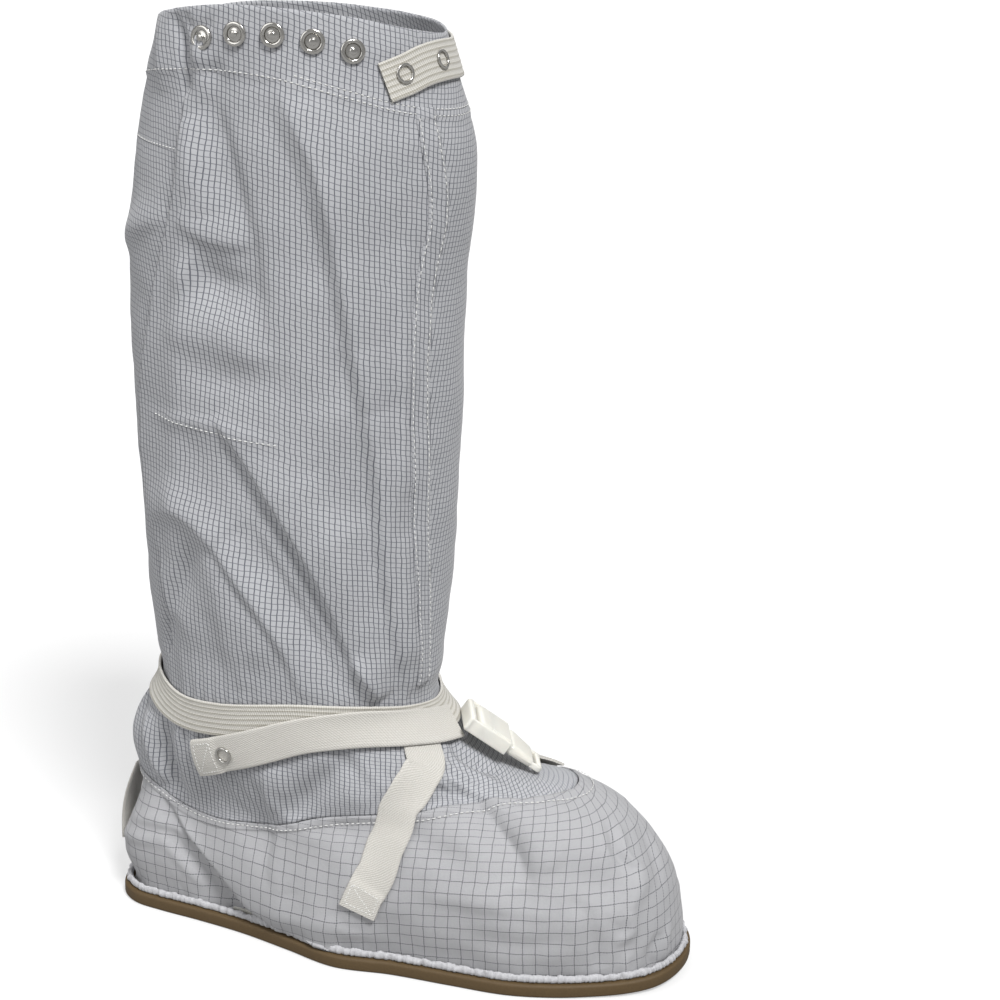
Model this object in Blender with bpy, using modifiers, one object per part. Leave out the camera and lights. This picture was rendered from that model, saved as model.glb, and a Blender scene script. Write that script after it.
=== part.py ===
"""Cleanroom boot, right foot: a cloth foot and a tall cloth shaft on a flat moulded sole.

Metres, +Z up, +X towards the toe, +Y towards the inner side of the foot. The origin is on the
ground, under the axis of the shaft. Lengths along the boot are first measured from the back of
the heel, and the finished mesh is moved so that the shaft's axis stands over the origin.
"""
import math
from typing import NamedTuple

import bmesh
import bpy
import numpy as np
from mathutils import Matrix, Vector

# Sole
SOLE_LENGTH = 0.302
BALL_WIDTH = 0.111
HEEL_WIDTH = 0.070
SOLE_THICKNESS = 0.007
TOE_SPRING = 0.0025
SPRING_START = 0.78
CHANNEL_WIDTH = 0.003
CHANNEL_DEPTH = 0.0008
CHANNEL_INSET = 0.005
CHANNEL_SLOPE = 0.0002
SOLE_EDGE_ROUND = 0.0016

# Foot, ankle and shaft
ANKLE_HEIGHT = 0.128
ANKLE_DEPTH = 0.146
ANKLE_WIDTH = 0.106
COLLAR_HEIGHT = 0.462
CALF_DEPTH = 0.166
CALF_WIDTH = 0.124
AXIS_FROM_HEEL = 0.096
AXIS_TO_OUTER = 0.004
CLOTH_WALL = 0.0012
HEM_DEPTH = 0.034
HEM_STEP = 0.0007
INSOLE_THICKNESS = 0.003

# Binding of gathered cloth on the sole
BINDING_HEIGHT = 0.0038
BINDING_WIDTH = 0.0024
BINDING_INSET = 0.0016

# Overlays, straps and hardware
PLACKET_THICKNESS = 0.0008
WEBBING_WIDTH = 0.0195
WEBBING_THICKNESS = 0.0013
ELASTIC_WIDTH = 0.0185
ELASTIC_THICKNESS = 0.0014
STUD_DIAMETER = 0.0112
STUD_HEIGHT = 0.0024
RING_DIAMETER = 0.0092
RING_HEIGHT = 0.0012
RING_BORE = 0.0066
BUCKLE_LENGTH = 0.047
BUCKLE_HEIGHT = 0.0085
BUCKLE_WALL = 0.0018
BUCKLE_PLAY = 0.0014
BUCKLE_WIDTH = WEBBING_WIDTH + 2.0 * (BUCKLE_WALL + BUCKLE_PLAY)
BUCKLE_RISE = 0.0020
BUCKLE_SEAT = 0.0005
BUCKLE_ARM = 0.0029
BUCKLE_MOUTH = 0.04
BUCKLE_BACK = 0.30
SOCKET_ROUND = 0.0012
PLUG_ROUND = 0.0010
LOOP_BULGE = 0.0030
LOOP_ROWS = 13

# Clearances
FIT_GAP = 0.0003
STRAP_GAP = 0.0007
SNAP_STRAP_LIFT = STRAP_GAP + ELASTIC_THICKNESS + STRAP_GAP
TAB_LIFT = HEM_STEP + STRAP_GAP
CLOTH_INSET = BINDING_INSET + BINDING_WIDTH + 2.0 * FIT_GAP

# Mesh
AROUND = 50
STRAP_STEP = 0.0080
STRAP_COLUMNS = 3
UNDER_REACH = 0.08
UNDER_COUNT = 120
UNDER_STEP = 0.001
UNDER_COLUMNS = 13
TURN_STEPS = 16
SMOOTH_ANGLE = 35.0

# Fixed shares
OUTER_SIDE = -1.0
FADE_LEVELS = 3.0
SAG_PEAK = 4.0 / 27.0
CORNER_CUT = 1.0 - math.sqrt(0.5)


class Station(NamedTuple):
    """One station of the sole's outline, as shares of the heel's or the ball's width."""

    along: float
    at_heel: bool
    half: float
    shift: float


SOLE_STATIONS = (
    Station(0.00, True, 0.000, -0.055),
    Station(0.02, True, 0.310, -0.057),
    Station(0.05, True, 0.414, -0.056),
    Station(0.10, True, 0.465, -0.052),
    Station(0.18, True, 0.500, -0.062),
    Station(0.27, True, 0.541, -0.090),
    Station(0.36, False, 0.384, -0.081),
    Station(0.45, False, 0.438, -0.096),
    Station(0.55, False, 0.455, -0.052),
    Station(0.65, False, 0.488, -0.015),
    Station(0.75, False, 0.499, 0.006),
    Station(0.82, False, 0.469, 0.024),
    Station(0.88, False, 0.416, 0.035),
    Station(0.93, False, 0.351, 0.038),
    Station(0.97, False, 0.262, 0.040),
    Station(1.00, False, 0.000, 0.040),
)


class FootRing(NamedTuple):
    """One ring round the foot: back and front ends, swell past the sole, oval mix and sag."""

    back: float
    back_height: float
    front: float
    front_height: float
    swell: float
    oval: float
    oval_half: float
    sag: float


# Along: shares of SOLE_LENGTH. Heights and sag: shares of ANKLE_HEIGHT. Widths: of BALL_WIDTH.
FOOT_RINGS = (
    FootRing(0.001, 0.150, 0.980, 0.170, -0.010, 0.00, 0.45, 0.000),
    FootRing(0.005, 0.255, 0.967, 0.320, -0.010, 0.03, 0.45, 0.000),
    FootRing(0.024, 0.370, 0.938, 0.460, -0.028, 0.10, 0.45, 0.025),
    FootRing(0.033, 0.465, 0.880, 0.590, -0.056, 0.24, 0.42, 0.060),
    FootRing(0.028, 0.545, 0.800, 0.676, -0.080, 0.42, 0.39, 0.085),
    FootRing(0.016, 0.665, 0.712, 0.712, -0.080, 0.62, 0.41, 0.065),
    FootRing(0.030, 0.800, 0.640, 0.800, -0.060, 0.82, 0.46, 0.030),
)
SEAM_LEVEL = 6


class ShaftRing(NamedTuple):
    """One ring round the shaft: height share from ankle to collar, depth, width and lean."""

    rise: float
    depth: float
    width: float
    lean: float


# Depth and lean: shares of CALF_DEPTH. Width: share of CALF_WIDTH.
SHAFT_RINGS = (
    ShaftRing(0.060, 0.900, 0.880, 0.000),
    ShaftRing(0.140, 0.932, 0.925, -0.006),
    ShaftRing(0.265, 0.955, 0.960, -0.006),
    ShaftRing(0.400, 0.985, 0.985, -0.009),
    ShaftRing(0.530, 1.000, 1.000, -0.011),
    ShaftRing(0.650, 1.000, 1.000, -0.009),
    ShaftRing(0.750, 1.002, 1.000, 0.004),
    ShaftRing(0.840, 0.975, 0.985, 0.018),
    ShaftRing(0.925, 0.895, 0.940, 0.008),
    ShaftRing(1.000, 0.815, 0.915, 0.003),
)
ANKLE_LEVEL = len(FOOT_RINGS) + 2
COLLAR_LEVEL = ANKLE_LEVEL + len(SHAFT_RINGS)


class Wave(NamedTuple):
    """Rise of the collar's rim, as a share of HEM_DEPTH, or of the foot's seam, in levels."""

    turn: float
    rise: float


COLLAR_WAVES = (
    Wave(-0.10, -0.10),
    Wave(0.00, -0.34),
    Wave(0.12, 0.04),
    Wave(0.22, 0.24),
    Wave(0.34, 0.17),
    Wave(0.44, -0.06),
    Wave(0.52, -0.18),
    Wave(0.65, -0.12),
    Wave(0.80, -0.06),
    Wave(0.90, -0.10),
    Wave(1.00, -0.34),
    Wave(1.12, 0.04),
)


SEAM_WAVES = (
    Wave(-0.10, 0.00),
    Wave(0.00, 0.00),
    Wave(0.08, -0.10),
    Wave(0.14, -0.95),
    Wave(0.19, -0.50),
    Wave(0.25, 0.25),
    Wave(0.33, 0.45),
    Wave(0.40, 0.75),
    Wave(0.45, 0.40),
    Wave(0.51, 0.05),
    Wave(0.60, -0.10),
    Wave(0.75, 0.00),
    Wave(0.90, 0.00),
    Wave(1.00, 0.00),
    Wave(1.08, -0.10),
)


class Fold(NamedTuple):
    """A soft trough or ridge from one place of the cloth to another."""

    turn_from: float
    level_from: float
    turn_to: float
    level_to: float
    half_width: float
    depth: float


# Half width and depth are shares of CALF_WIDTH, and a trough's depth is negative.
FOLDS = (
    Fold(0.205, 17.8, 0.215, 15.0, 0.110, -0.020),
    Fold(0.215, 15.0, 0.245, 12.8, 0.110, -0.016),
    Fold(0.185, 18.2, 0.185, 15.0, 0.060, 0.014),
    Fold(0.185, 15.0, 0.150, 11.0, 0.060, 0.014),
    Fold(0.290, 17.4, 0.350, 13.5, 0.140, 0.016),
    Fold(0.280, 12.4, 0.350, 10.9, 0.110, -0.026),
    Fold(0.350, 12.2, 0.400, 10.6, 0.080, 0.020),
    Fold(0.190, 12.2, 0.250, 10.8, 0.090, 0.018),
    Fold(0.115, 5.0, 0.165, 1.9, 0.080, -0.028),
    Fold(0.165, 5.0, 0.205, 1.9, 0.080, 0.020),
    Fold(0.410, 6.3, 0.350, 3.4, 0.090, -0.026),
    Fold(0.440, 5.8, 0.395, 2.8, 0.090, 0.016),
)


class PathPoint(NamedTuple):
    """One place on the middle line of a strap."""

    turn: float
    level: float


ANKLE_STRAP_PATH = (
    PathPoint(0.000, 8.98),
    PathPoint(0.075, 8.88),
    PathPoint(0.145, 8.74),
    PathPoint(0.203, 8.84),
    PathPoint(0.260, 9.02),
    PathPoint(0.300, 9.09),
    PathPoint(0.357, 9.04),
    PathPoint(0.412, 8.92),
    PathPoint(0.460, 8.84),
    PathPoint(0.500, 8.80),
    PathPoint(0.560, 8.84),
    PathPoint(0.640, 9.00),
    PathPoint(0.740, 9.05),
    PathPoint(0.850, 8.95),
    PathPoint(0.930, 8.92),
)
SNAP_STRAP_PATH = (
    PathPoint(0.492, 8.58),
    PathPoint(0.455, 8.68),
    PathPoint(0.412, 8.83),
    PathPoint(0.357, 8.96),
    PathPoint(0.302, 8.83),
    PathPoint(0.253, 8.52),
    PathPoint(0.205, 8.13),
    PathPoint(0.172, 7.76),
)
OUTER_STRAP_PATH = (
    PathPoint(0.412, 8.14),
    PathPoint(0.378, 7.75),
    PathPoint(0.325, 6.61),
    PathPoint(0.278, 5.02),
    PathPoint(0.258, 3.62),
    PathPoint(0.247, 2.45),
)
INNER_STRAP_PATH = (
    PathPoint(0.590, 6.22),
    PathPoint(0.618, 5.95),
    PathPoint(0.655, 5.20),
    PathPoint(0.690, 3.90),
    PathPoint(0.705, 2.45),
)
TAB_PATH = (
    PathPoint(0.381, 18.00),
    PathPoint(0.410, 18.17),
    PathPoint(0.443, 18.36),
    PathPoint(0.487, 18.46),
    PathPoint(0.547, 18.46),
    PathPoint(0.600, 18.46),
)
BUCKLE_UPPER = PathPoint(0.502, 8.47)
BUCKLE_LOWER = PathPoint(0.532, 6.90)
LOOP_TOP = PathPoint(0.0, 5.75)
LOOP_FOOT = PathPoint(0.0, 2.05)
STRAP_RING_PLACE = PathPoint(0.209, 8.17)
TAB_RING_PLACES = (PathPoint(0.406, 18.17), PathPoint(0.470, 18.44))
STUD_COUNT = 5
STUD_PROFILE = (
    (0.00, 1.00),
    (0.30, 1.00),
    (0.36, 0.35),
    (0.62, 0.35),
    (0.74, 0.60),
    (0.92, 0.60),
    (1.00, 0.00),
    (0.00, 0.00),
)
RING_PROFILE = (
    (0.0, 0.0),
    (0.0, 0.6),
    (0.5, 1.0),
    (1.0, 0.6),
    (1.0, 0.0),
    (0.0, 0.0),
)
FIRST_STUD = PathPoint(0.192, 18.50)
LAST_STUD = PathPoint(0.352, 18.46)
STUD_ARCH = 0.12
FRONT_SEAM_FROM = 0.428
FRONT_SEAM_TO = 0.456


def curve_through(knots, values, at):
    """Smooth curve through the values at the knots, read at the places given."""
    knots = np.asarray(knots, dtype=float)
    values = np.asarray(values, dtype=float)
    at = np.asarray(at, dtype=float)
    slopes = np.gradient(values, knots)
    place = np.clip(np.searchsorted(knots, at, side="right") - 1, 0, len(knots) - 2)
    span = knots[place + 1] - knots[place]
    t = np.clip((at - knots[place]) / span, 0.0, 1.0)
    start = (1.0 + 2.0 * t) * (1.0 - t) ** 2 * values[place]
    start_slope = t * (1.0 - t) ** 2 * span * slopes[place]
    end = t * t * (3.0 - 2.0 * t) * values[place + 1]
    end_slope = t * t * (t - 1.0) * span * slopes[place + 1]
    return start + start_slope + end + end_slope


def arc_place(along):
    """Angle of a place along the sole, which makes both ends of the outline round."""
    return np.arccos(np.clip(1.0 - 2.0 * np.asarray(along, dtype=float), -1.0, 1.0))


def station_width(station):
    """Named width that a station's shares belong to."""
    return HEEL_WIDTH if station.at_heel else BALL_WIDTH


STATION_ANGLES = arc_place([station.along for station in SOLE_STATIONS])
STATION_HALVES = [station.half * station_width(station) for station in SOLE_STATIONS]
STATION_SHIFTS = [station.shift * station_width(station) for station in SOLE_STATIONS]


def sole_half(angle):
    """Half width of the sole at an angle from the heel's back."""
    return curve_through(STATION_ANGLES, STATION_HALVES, angle)


def sole_shift(angle):
    """Sideways shift of the sole's centre line at an angle from the heel's back."""
    return curve_through(STATION_ANGLES, STATION_SHIFTS, angle)


def spring(along):
    """Rise of the sole towards the toe, which starts at the ball."""
    start = SPRING_START * SOLE_LENGTH
    share = np.clip((np.asarray(along) - start) / (SOLE_LENGTH - start), 0.0, 1.0)
    return TOE_SPRING * share ** 2


def split_turn(turn):
    """Angle from the back, 0 to pi, and the side: -1 on the outer side, 1 on the inner."""
    turn = np.asarray(turn, dtype=float) % 1.0
    angle = 2.0 * math.pi * turn
    outer = turn <= 0.5
    return np.where(outer, angle, 2.0 * math.pi - angle), np.where(outer, OUTER_SIDE, -OUTER_SIDE)


def outline(turn, inset, height):
    """Points of the sole's outline, drawn in by an inset, at a height over its underside."""
    angle, side = split_turn(turn)
    along = inset + (SOLE_LENGTH - 2.0 * inset) * (1.0 - np.cos(angle)) / 2.0
    half = np.maximum(sole_half(angle) - inset * np.sqrt(np.abs(np.sin(angle))), 0.0)
    across = sole_shift(angle) + side * half
    return np.stack([along, across, height + spring(along) + 0.0 * along], axis=-1)


def ring_columns():
    """Every ring of foot and shaft in metres, one column for each quantity."""
    floor = SOLE_THICKNESS + FIT_GAP
    toe = SOLE_LENGTH - CLOTH_INSET
    over_binding = floor + BINDING_HEIGHT + FIT_GAP
    rows = [
        (CLOTH_INSET, height, toe, height, -CLOTH_INSET, 0.0, 0.0, 0.0)
        for height in (floor, over_binding)
    ]
    for ring in FOOT_RINGS:
        rows.append((
            ring.back * SOLE_LENGTH,
            floor + ring.back_height * (ANKLE_HEIGHT - floor),
            ring.front * SOLE_LENGTH,
            floor + ring.front_height * (ANKLE_HEIGHT - floor),
            ring.swell * BALL_WIDTH,
            ring.oval,
            ring.oval_half * BALL_WIDTH,
            ring.sag * ANKLE_HEIGHT,
        ))
    rows.append((
        AXIS_FROM_HEEL - ANKLE_DEPTH / 2.0,
        ANKLE_HEIGHT,
        AXIS_FROM_HEEL + ANKLE_DEPTH / 2.0,
        ANKLE_HEIGHT,
        0.0,
        1.0,
        ANKLE_WIDTH / 2.0,
        0.0,
    ))
    for ring in SHAFT_RINGS:
        centre = AXIS_FROM_HEEL + ring.lean * CALF_DEPTH
        height = ANKLE_HEIGHT + ring.rise * (COLLAR_HEIGHT - ANKLE_HEIGHT)
        rows.append((
            centre - ring.depth * CALF_DEPTH / 2.0,
            height,
            centre + ring.depth * CALF_DEPTH / 2.0,
            height,
            0.0,
            1.0,
            ring.width * CALF_WIDTH / 2.0,
            0.0,
        ))
    return np.array(rows).T


RINGS = ring_columns()
LEVELS = np.arange(RINGS.shape[1])
HEM_LEVEL = float(np.interp(COLLAR_HEIGHT - HEM_DEPTH, RINGS[1], LEVELS))


def bare_surface(turn, level):
    """Outer face of foot and shaft before its folds."""
    turn, level = np.broadcast_arrays(np.asarray(turn, dtype=float), np.asarray(level, dtype=float))
    back, low, front, high, swell, oval, oval_half, sag = (
        curve_through(LEVELS, column, level) for column in RINGS
    )
    angle, side = split_turn(turn)
    share = (1.0 - np.cos(angle)) / 2.0
    along = back + (front - back) * share
    foot_half = np.maximum(sole_half(angle) + swell * np.sqrt(np.abs(np.sin(angle))), 0.0)
    half = (1.0 - oval) * foot_half + oval * oval_half * np.sin(angle)
    centre = (1.0 - oval) * sole_shift(angle) + oval * OUTER_SIDE * AXIS_TO_OUTER
    height = low + (high - low) * share - sag / SAG_PEAK * share * (1.0 - share) ** 2
    on_sole = np.clip(1.0 - level / FADE_LEVELS, 0.0, 1.0)
    height = height + spring(along) * on_sole
    near_rim = np.clip(1.0 - (COLLAR_LEVEL - level) / FADE_LEVELS, 0.0, 1.0) ** 2
    height = height + HEM_DEPTH * wave_at(COLLAR_WAVES, turn) * near_rim
    return np.stack([along, centre + side * half, height], axis=-1)


def frame_at(turn, level, surface=bare_surface):
    """Point of a surface, its two slopes by turn and by level, and its outward normal."""
    step = 1e-3
    turn = np.asarray(turn, dtype=float)
    level = np.asarray(level, dtype=float)
    low = np.clip(level - step, 0.0, COLLAR_LEVEL)
    high = np.clip(level + step, 0.0, COLLAR_LEVEL)
    by_turn = (surface(turn + step, level) - surface(turn - step, level)) / (2.0 * step)
    by_level = (surface(turn, high) - surface(turn, low)) / (high - low)[..., None]
    normal = np.cross(by_turn, by_level)
    normal /= np.linalg.norm(normal, axis=-1, keepdims=True)
    return surface(turn, level), by_turn, by_level, normal


def fold_push(points):
    """Push of the folds at points of the bare surface, outwards when positive."""
    push = np.zeros(points.shape[:-1])
    for fold in FOLDS:
        start = bare_surface(fold.turn_from, fold.level_from)
        run = bare_surface(fold.turn_to, fold.level_to) - start
        offset = points - start
        share = np.clip(offset @ run / (run @ run), 0.0, 1.0)
        away = np.linalg.norm(offset - share[..., None] * run, axis=-1)
        push += fold.depth * CALF_WIDTH * np.exp(-(away / (fold.half_width * CALF_WIDTH)) ** 2)
    return push


def wave_at(waves, turn):
    """Value of a table of waves at a turn."""
    knots = [wave.turn for wave in waves]
    return curve_through(knots, [wave.rise for wave in waves], np.asarray(turn) % 1.0)


def follow_seam(turn, level):
    """Level moved so that the even ring at SEAM_LEVEL becomes the waving seam."""
    weight = np.clip(1.0 - np.abs(level - SEAM_LEVEL) / FADE_LEVELS, 0.0, 1.0)
    return level + wave_at(SEAM_WAVES, turn) * weight


def hem_step(level):
    """Extra thickness of the collar's hem over the rest of the shaft."""
    return HEM_STEP * (np.asarray(level, dtype=float) >= HEM_LEVEL)


def skin(turn, level, lift=0.0):
    """Point at a lift over the outer face of foot and shaft, folds and hem included."""
    turn, level = np.broadcast_arrays(np.asarray(turn, dtype=float), np.asarray(level, dtype=float))
    point, _, _, normal = frame_at(turn, level)
    return point + normal * (fold_push(point) + lift)[..., None]


def stand_over_origin(points):
    """Move points so that the shaft's axis stands over the origin."""
    return np.asarray(points) - np.array([AXIS_FROM_HEEL, 0.0, 0.0])


def new_object(name, mesh_builder, material, parts):
    """Object of a mesh made by a function that fills a bmesh."""
    mesh = bpy.data.meshes.new(name)
    shape = bmesh.new()
    mesh_builder(shape)
    bmesh.ops.recalc_face_normals(shape, faces=shape.faces)
    shape.to_mesh(mesh)
    shape.free()
    mesh.materials.append(material)
    mesh.shade_smooth()
    mesh.set_sharp_from_angle(angle=math.radians(SMOOTH_ANGLE))
    item = bpy.data.objects.new(name, mesh)
    parts.objects.link(item)
    return item


def add_grid(shape, points, wrap):
    """Add a grid of points to a bmesh, joined round when it wraps, and return its corners."""
    corners = [[shape.verts.new(point) for point in row] for row in points]
    columns = len(corners[0])
    for low, high in zip(corners, corners[1:]):
        for place in range(columns if wrap else columns - 1):
            beside = (place + 1) % columns
            shape.faces.new((low[place], low[beside], high[beside], high[place]))
    return corners


def join_rows(shape, one, other, wrap):
    """Join two rows of corners with a strip of faces."""
    columns = len(one)
    for place in range(columns if wrap else columns - 1):
        beside = (place + 1) % columns
        shape.faces.new((one[place], one[beside], other[beside], other[place]))


def walled(name, outer, inner, wrap, material, parts):
    """Closed wall between an outer and an inner grid of points."""
    def build(shape):
        outside = add_grid(shape, stand_over_origin(outer), wrap)
        inside = add_grid(shape, stand_over_origin(inner), wrap)
        join_rows(shape, outside[0], inside[0], wrap)
        join_rows(shape, outside[-1], inside[-1], wrap)
        if not wrap:
            join_rows(shape, [row[0] for row in outside], [row[0] for row in inside], False)
            join_rows(shape, [row[-1] for row in outside], [row[-1] for row in inside], False)
    return new_object(name, build, material, parts)


def slab(name, rows, material, parts):
    """Closed body of outline rings, from its underside to its top, capped across."""
    def build(shape):
        rings = add_grid(shape, stand_over_origin(rows), True)
        half = len(rings[0]) // 2
        for ring in (rings[0], rings[-1]):
            outer = ring[: half + 1]
            inner = [ring[-place % len(ring)] for place in range(half + 1)]
            shape.faces.new((outer[0], outer[1], inner[1]))
            join_rows(shape, outer[1:half], inner[1:half], False)
            shape.faces.new((outer[half - 1], outer[half], inner[half - 1]))
    return new_object(name, build, material, parts)


def turns_round():
    """Places round the boot, evenly by angle."""
    return np.arange(AROUND) / AROUND


def build_outsole(material, parts):
    """Outsole with its stitch channel underneath and its rounded edge."""
    channel_end = CHANNEL_INSET + CHANNEL_WIDTH
    corner = CORNER_CUT * SOLE_EDGE_ROUND
    section = (
        (channel_end + CHANNEL_SLOPE, 0.0),
        (channel_end, CHANNEL_DEPTH),
        (CHANNEL_INSET, CHANNEL_DEPTH),
        (CHANNEL_INSET - CHANNEL_SLOPE, 0.0),
        (SOLE_EDGE_ROUND, 0.0),
        (corner, corner),
        (0.0, SOLE_EDGE_ROUND),
        (0.0, SOLE_THICKNESS - SOLE_EDGE_ROUND),
        (corner, SOLE_THICKNESS - corner),
        (SOLE_EDGE_ROUND, SOLE_THICKNESS),
    )
    rows = [outline(turns_round(), inset, height) for inset, height in section]
    return slab("outsole", rows, material, parts)


def build_insole(material, parts):
    """Insole board inside the foot, a fit gap over the outsole and inside the cloth."""
    inset = CLOTH_INSET + CLOTH_WALL + 2.0 * FIT_GAP
    low = SOLE_THICKNESS + FIT_GAP
    rows = [outline(turns_round(), inset, height) for height in (low, low + INSOLE_THICKNESS)]
    return slab("insole", rows, material, parts)


def build_binding(material, parts):
    """Gathered edge of cloth that stands on the outsole, outside the foot's cloth."""
    low = SOLE_THICKNESS + FIT_GAP
    high = low + BINDING_HEIGHT
    round_in = CORNER_CUT * BINDING_WIDTH
    section = ((round_in, low), (0.0, (low + high) / 2.0), (round_in, high))
    outer = [
        outline(turns_round(), BINDING_INSET + drawn_in, height) for drawn_in, height in section
    ]
    inner = [
        outline(turns_round(), BINDING_INSET + BINDING_WIDTH, height) for _, height in section
    ]
    return walled("seam_binding", outer, inner, True, material, parts)


def cloth_levels(start, end, steps):
    """Levels between two rings, evenly spaced."""
    return list(np.linspace(start, end, steps))


def build_tube(name, levels, material, parts):
    """Hollow tube of cloth through the given levels, with the hem as a step in its wall."""
    grid_turn = turns_round()[None, :]
    grid_level = np.array(levels)[:, None]
    lift = hem_step(grid_level) + 0.0 * grid_turn
    grid_level = follow_seam(grid_turn, grid_level)
    outer = skin(grid_turn, grid_level, lift)
    inner = skin(grid_turn, grid_level, -CLOTH_WALL)
    return walled(name, outer, inner, True, material, parts)


def seam_share():
    """Share of a level that the fit gap takes at the seam of foot and shaft."""
    _, _, by_level, _ = frame_at(0.0, float(SEAM_LEVEL))
    return FIT_GAP / np.linalg.norm(by_level)


def build_foot(material, parts):
    """Foot of coarse-check cloth, from the outsole to the seam."""
    levels = [0.0, 1.0] + cloth_levels(1.6, SEAM_LEVEL, 8)
    return build_tube("foot_upper", levels, material, parts)


def build_shaft(material, parts):
    """Shaft of fine-check cloth, from the seam to the collar's rim."""
    start = SEAM_LEVEL + seam_share()
    instep = cloth_levels(start, ANKLE_LEVEL - 1.4, 4)
    ankle = cloth_levels(ANKLE_LEVEL - 1.4, ANKLE_LEVEL + 0.6, 8)[1:]
    low = cloth_levels(ANKLE_LEVEL + 0.6, ANKLE_LEVEL + 2.0, 3)[1:]
    high = cloth_levels(ANKLE_LEVEL + 2.0, HEM_LEVEL - 0.04, 9)[1:]
    hem = cloth_levels(HEM_LEVEL, COLLAR_LEVEL, 3)
    return build_tube("shaft", instep + ankle + low + high + hem, material, parts)


def strap_rows(path, width, closed=False, step=STRAP_STEP, columns=STRAP_COLUMNS):
    """Places over a strap: its middle line through the path, widened along the cloth."""
    knots = np.array(path)
    if closed:
        knots = np.vstack([knots[-3:] - [1.0, 0.0], knots, knots[:3] + [1.0, 0.0]])
    count = np.arange(len(knots))
    first, last = (3.0, len(knots) - 3.0) if closed else (0.0, len(knots) - 1.0)
    fine = np.linspace(first, last, 400)
    turns = curve_through(count, knots[:, 0], fine)
    levels = curve_through(count, knots[:, 1], fine)
    middle = skin(turns, levels)
    run = np.concatenate([[0.0], np.cumsum(np.linalg.norm(np.diff(middle, axis=0), axis=-1))])
    steps = max(4, round(run[-1] / step))
    even = np.linspace(0.0, run[-1], steps + 1)
    if closed:
        even = even[:-1]
    turns = np.interp(even, run, turns)
    levels = np.interp(even, run, levels)
    _, by_turn, by_level, normal = frame_at(turns, levels)
    place = np.interp(even, run, fine)
    ahead = np.gradient(np.stack([turns, levels], axis=-1), place, axis=0)
    if closed:
        ahead[0] = ahead[-1] = (ahead[0] + ahead[-1]) / 2.0
    tangent = by_turn * ahead[:, :1] + by_level * ahead[:, 1:]
    tangent /= np.linalg.norm(tangent, axis=-1, keepdims=True)
    side = np.cross(normal, tangent)
    shares = np.linspace(-0.5, 0.5, columns)
    return across_surface(turns, levels, by_turn, by_level, side, width * shares)


def across_surface(turns, levels, by_turn, by_level, side, offsets):
    """Turns and levels of places beside a line on the cloth, at the offsets given."""
    tt = np.sum(by_turn * by_turn, axis=-1)
    tl = np.sum(by_turn * by_level, axis=-1)
    ll = np.sum(by_level * by_level, axis=-1)
    ts = np.sum(by_turn * side, axis=-1)
    ls = np.sum(by_level * side, axis=-1)
    area = tt * ll - tl * tl
    turn_rate = (ll * ts - tl * ls) / area
    level_rate = (tt * ls - tl * ts) / area
    return (
        turns[:, None] + turn_rate[:, None] * offsets,
        levels[:, None] + level_rate[:, None] * offsets,
    )


def build_strap(name, places, lift, thickness, wrap, material, parts):
    """Strap of a given thickness that lies at a lift over the cloth."""
    turns, levels = places
    outer = skin(turns, levels, lift + thickness)
    inner = skin(turns, levels, lift)
    if wrap:
        outer = outer.transpose(1, 0, 2)
        inner = inner.transpose(1, 0, 2)
    return walled(name, outer, inner, wrap, material, parts)


def build_straps(elastic, webbing, parts):
    """Ankle elastic, snap strap, both instep straps and the collar's tab."""
    ring = strap_rows(ANKLE_STRAP_PATH, ELASTIC_WIDTH, closed=True)
    build_strap("ankle_strap", ring, STRAP_GAP, ELASTIC_THICKNESS, True, elastic, parts)
    snap = strap_rows(SNAP_STRAP_PATH, WEBBING_WIDTH)
    build_strap("snap_strap", snap, SNAP_STRAP_LIFT, WEBBING_THICKNESS, False, webbing, parts)
    for name, path in (
        ("instep_strap_outer", OUTER_STRAP_PATH),
        ("instep_strap_inner", INNER_STRAP_PATH),
    ):
        places = strap_rows(path, WEBBING_WIDTH)
        build_strap(name, places, STRAP_GAP, WEBBING_THICKNESS, False, webbing, parts)
    tab = strap_rows(TAB_PATH, ELASTIC_WIDTH)
    build_strap("collar_tab", tab, TAB_LIFT, ELASTIC_THICKNESS, False, elastic, parts)


def build_front_placket(material, parts):
    """Raised strip of cloth down the front of the shaft, between ankle and hem."""
    turns = np.linspace(FRONT_SEAM_FROM, FRONT_SEAM_TO, STRAP_COLUMNS)[None, :]
    levels = np.linspace(ANKLE_LEVEL + 0.75, HEM_LEVEL - 0.05, 14)[:, None]
    outer = skin(turns, levels, STRAP_GAP + PLACKET_THICKNESS)
    inner = skin(turns, levels, STRAP_GAP)
    return walled("front_placket", outer, inner, False, material, parts)


def build_heel_loop(material, parts):
    """Webbing loop that spans the hollow over the heel, sewn at both ends."""
    top = skin(LOOP_TOP.turn, LOOP_TOP.level, STRAP_GAP)
    foot = skin(LOOP_FOOT.turn, LOOP_FOOT.level, STRAP_GAP)
    shares = np.linspace(0.0, 1.0, LOOP_ROWS)[:, None]
    bow = LOOP_BULGE * np.sin(math.pi * shares) * np.array([-1.0, 0.0, 0.0])
    middle = top + (foot - top) * shares + bow
    across = np.array([0.0, 1.0, 0.0]) * WEBBING_WIDTH
    edges = np.linspace(0.5, -0.5, 2)
    inner = middle[:, None, :] + edges[None, :, None] * across
    run = np.gradient(middle, axis=0)
    out = np.cross(run, across)
    out /= np.linalg.norm(out, axis=-1, keepdims=True)
    out *= np.sign(-out[:, :1])
    outer = inner + WEBBING_THICKNESS * out[:, None, :]
    return walled("heel_loop", outer, inner, False, material, parts)


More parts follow.
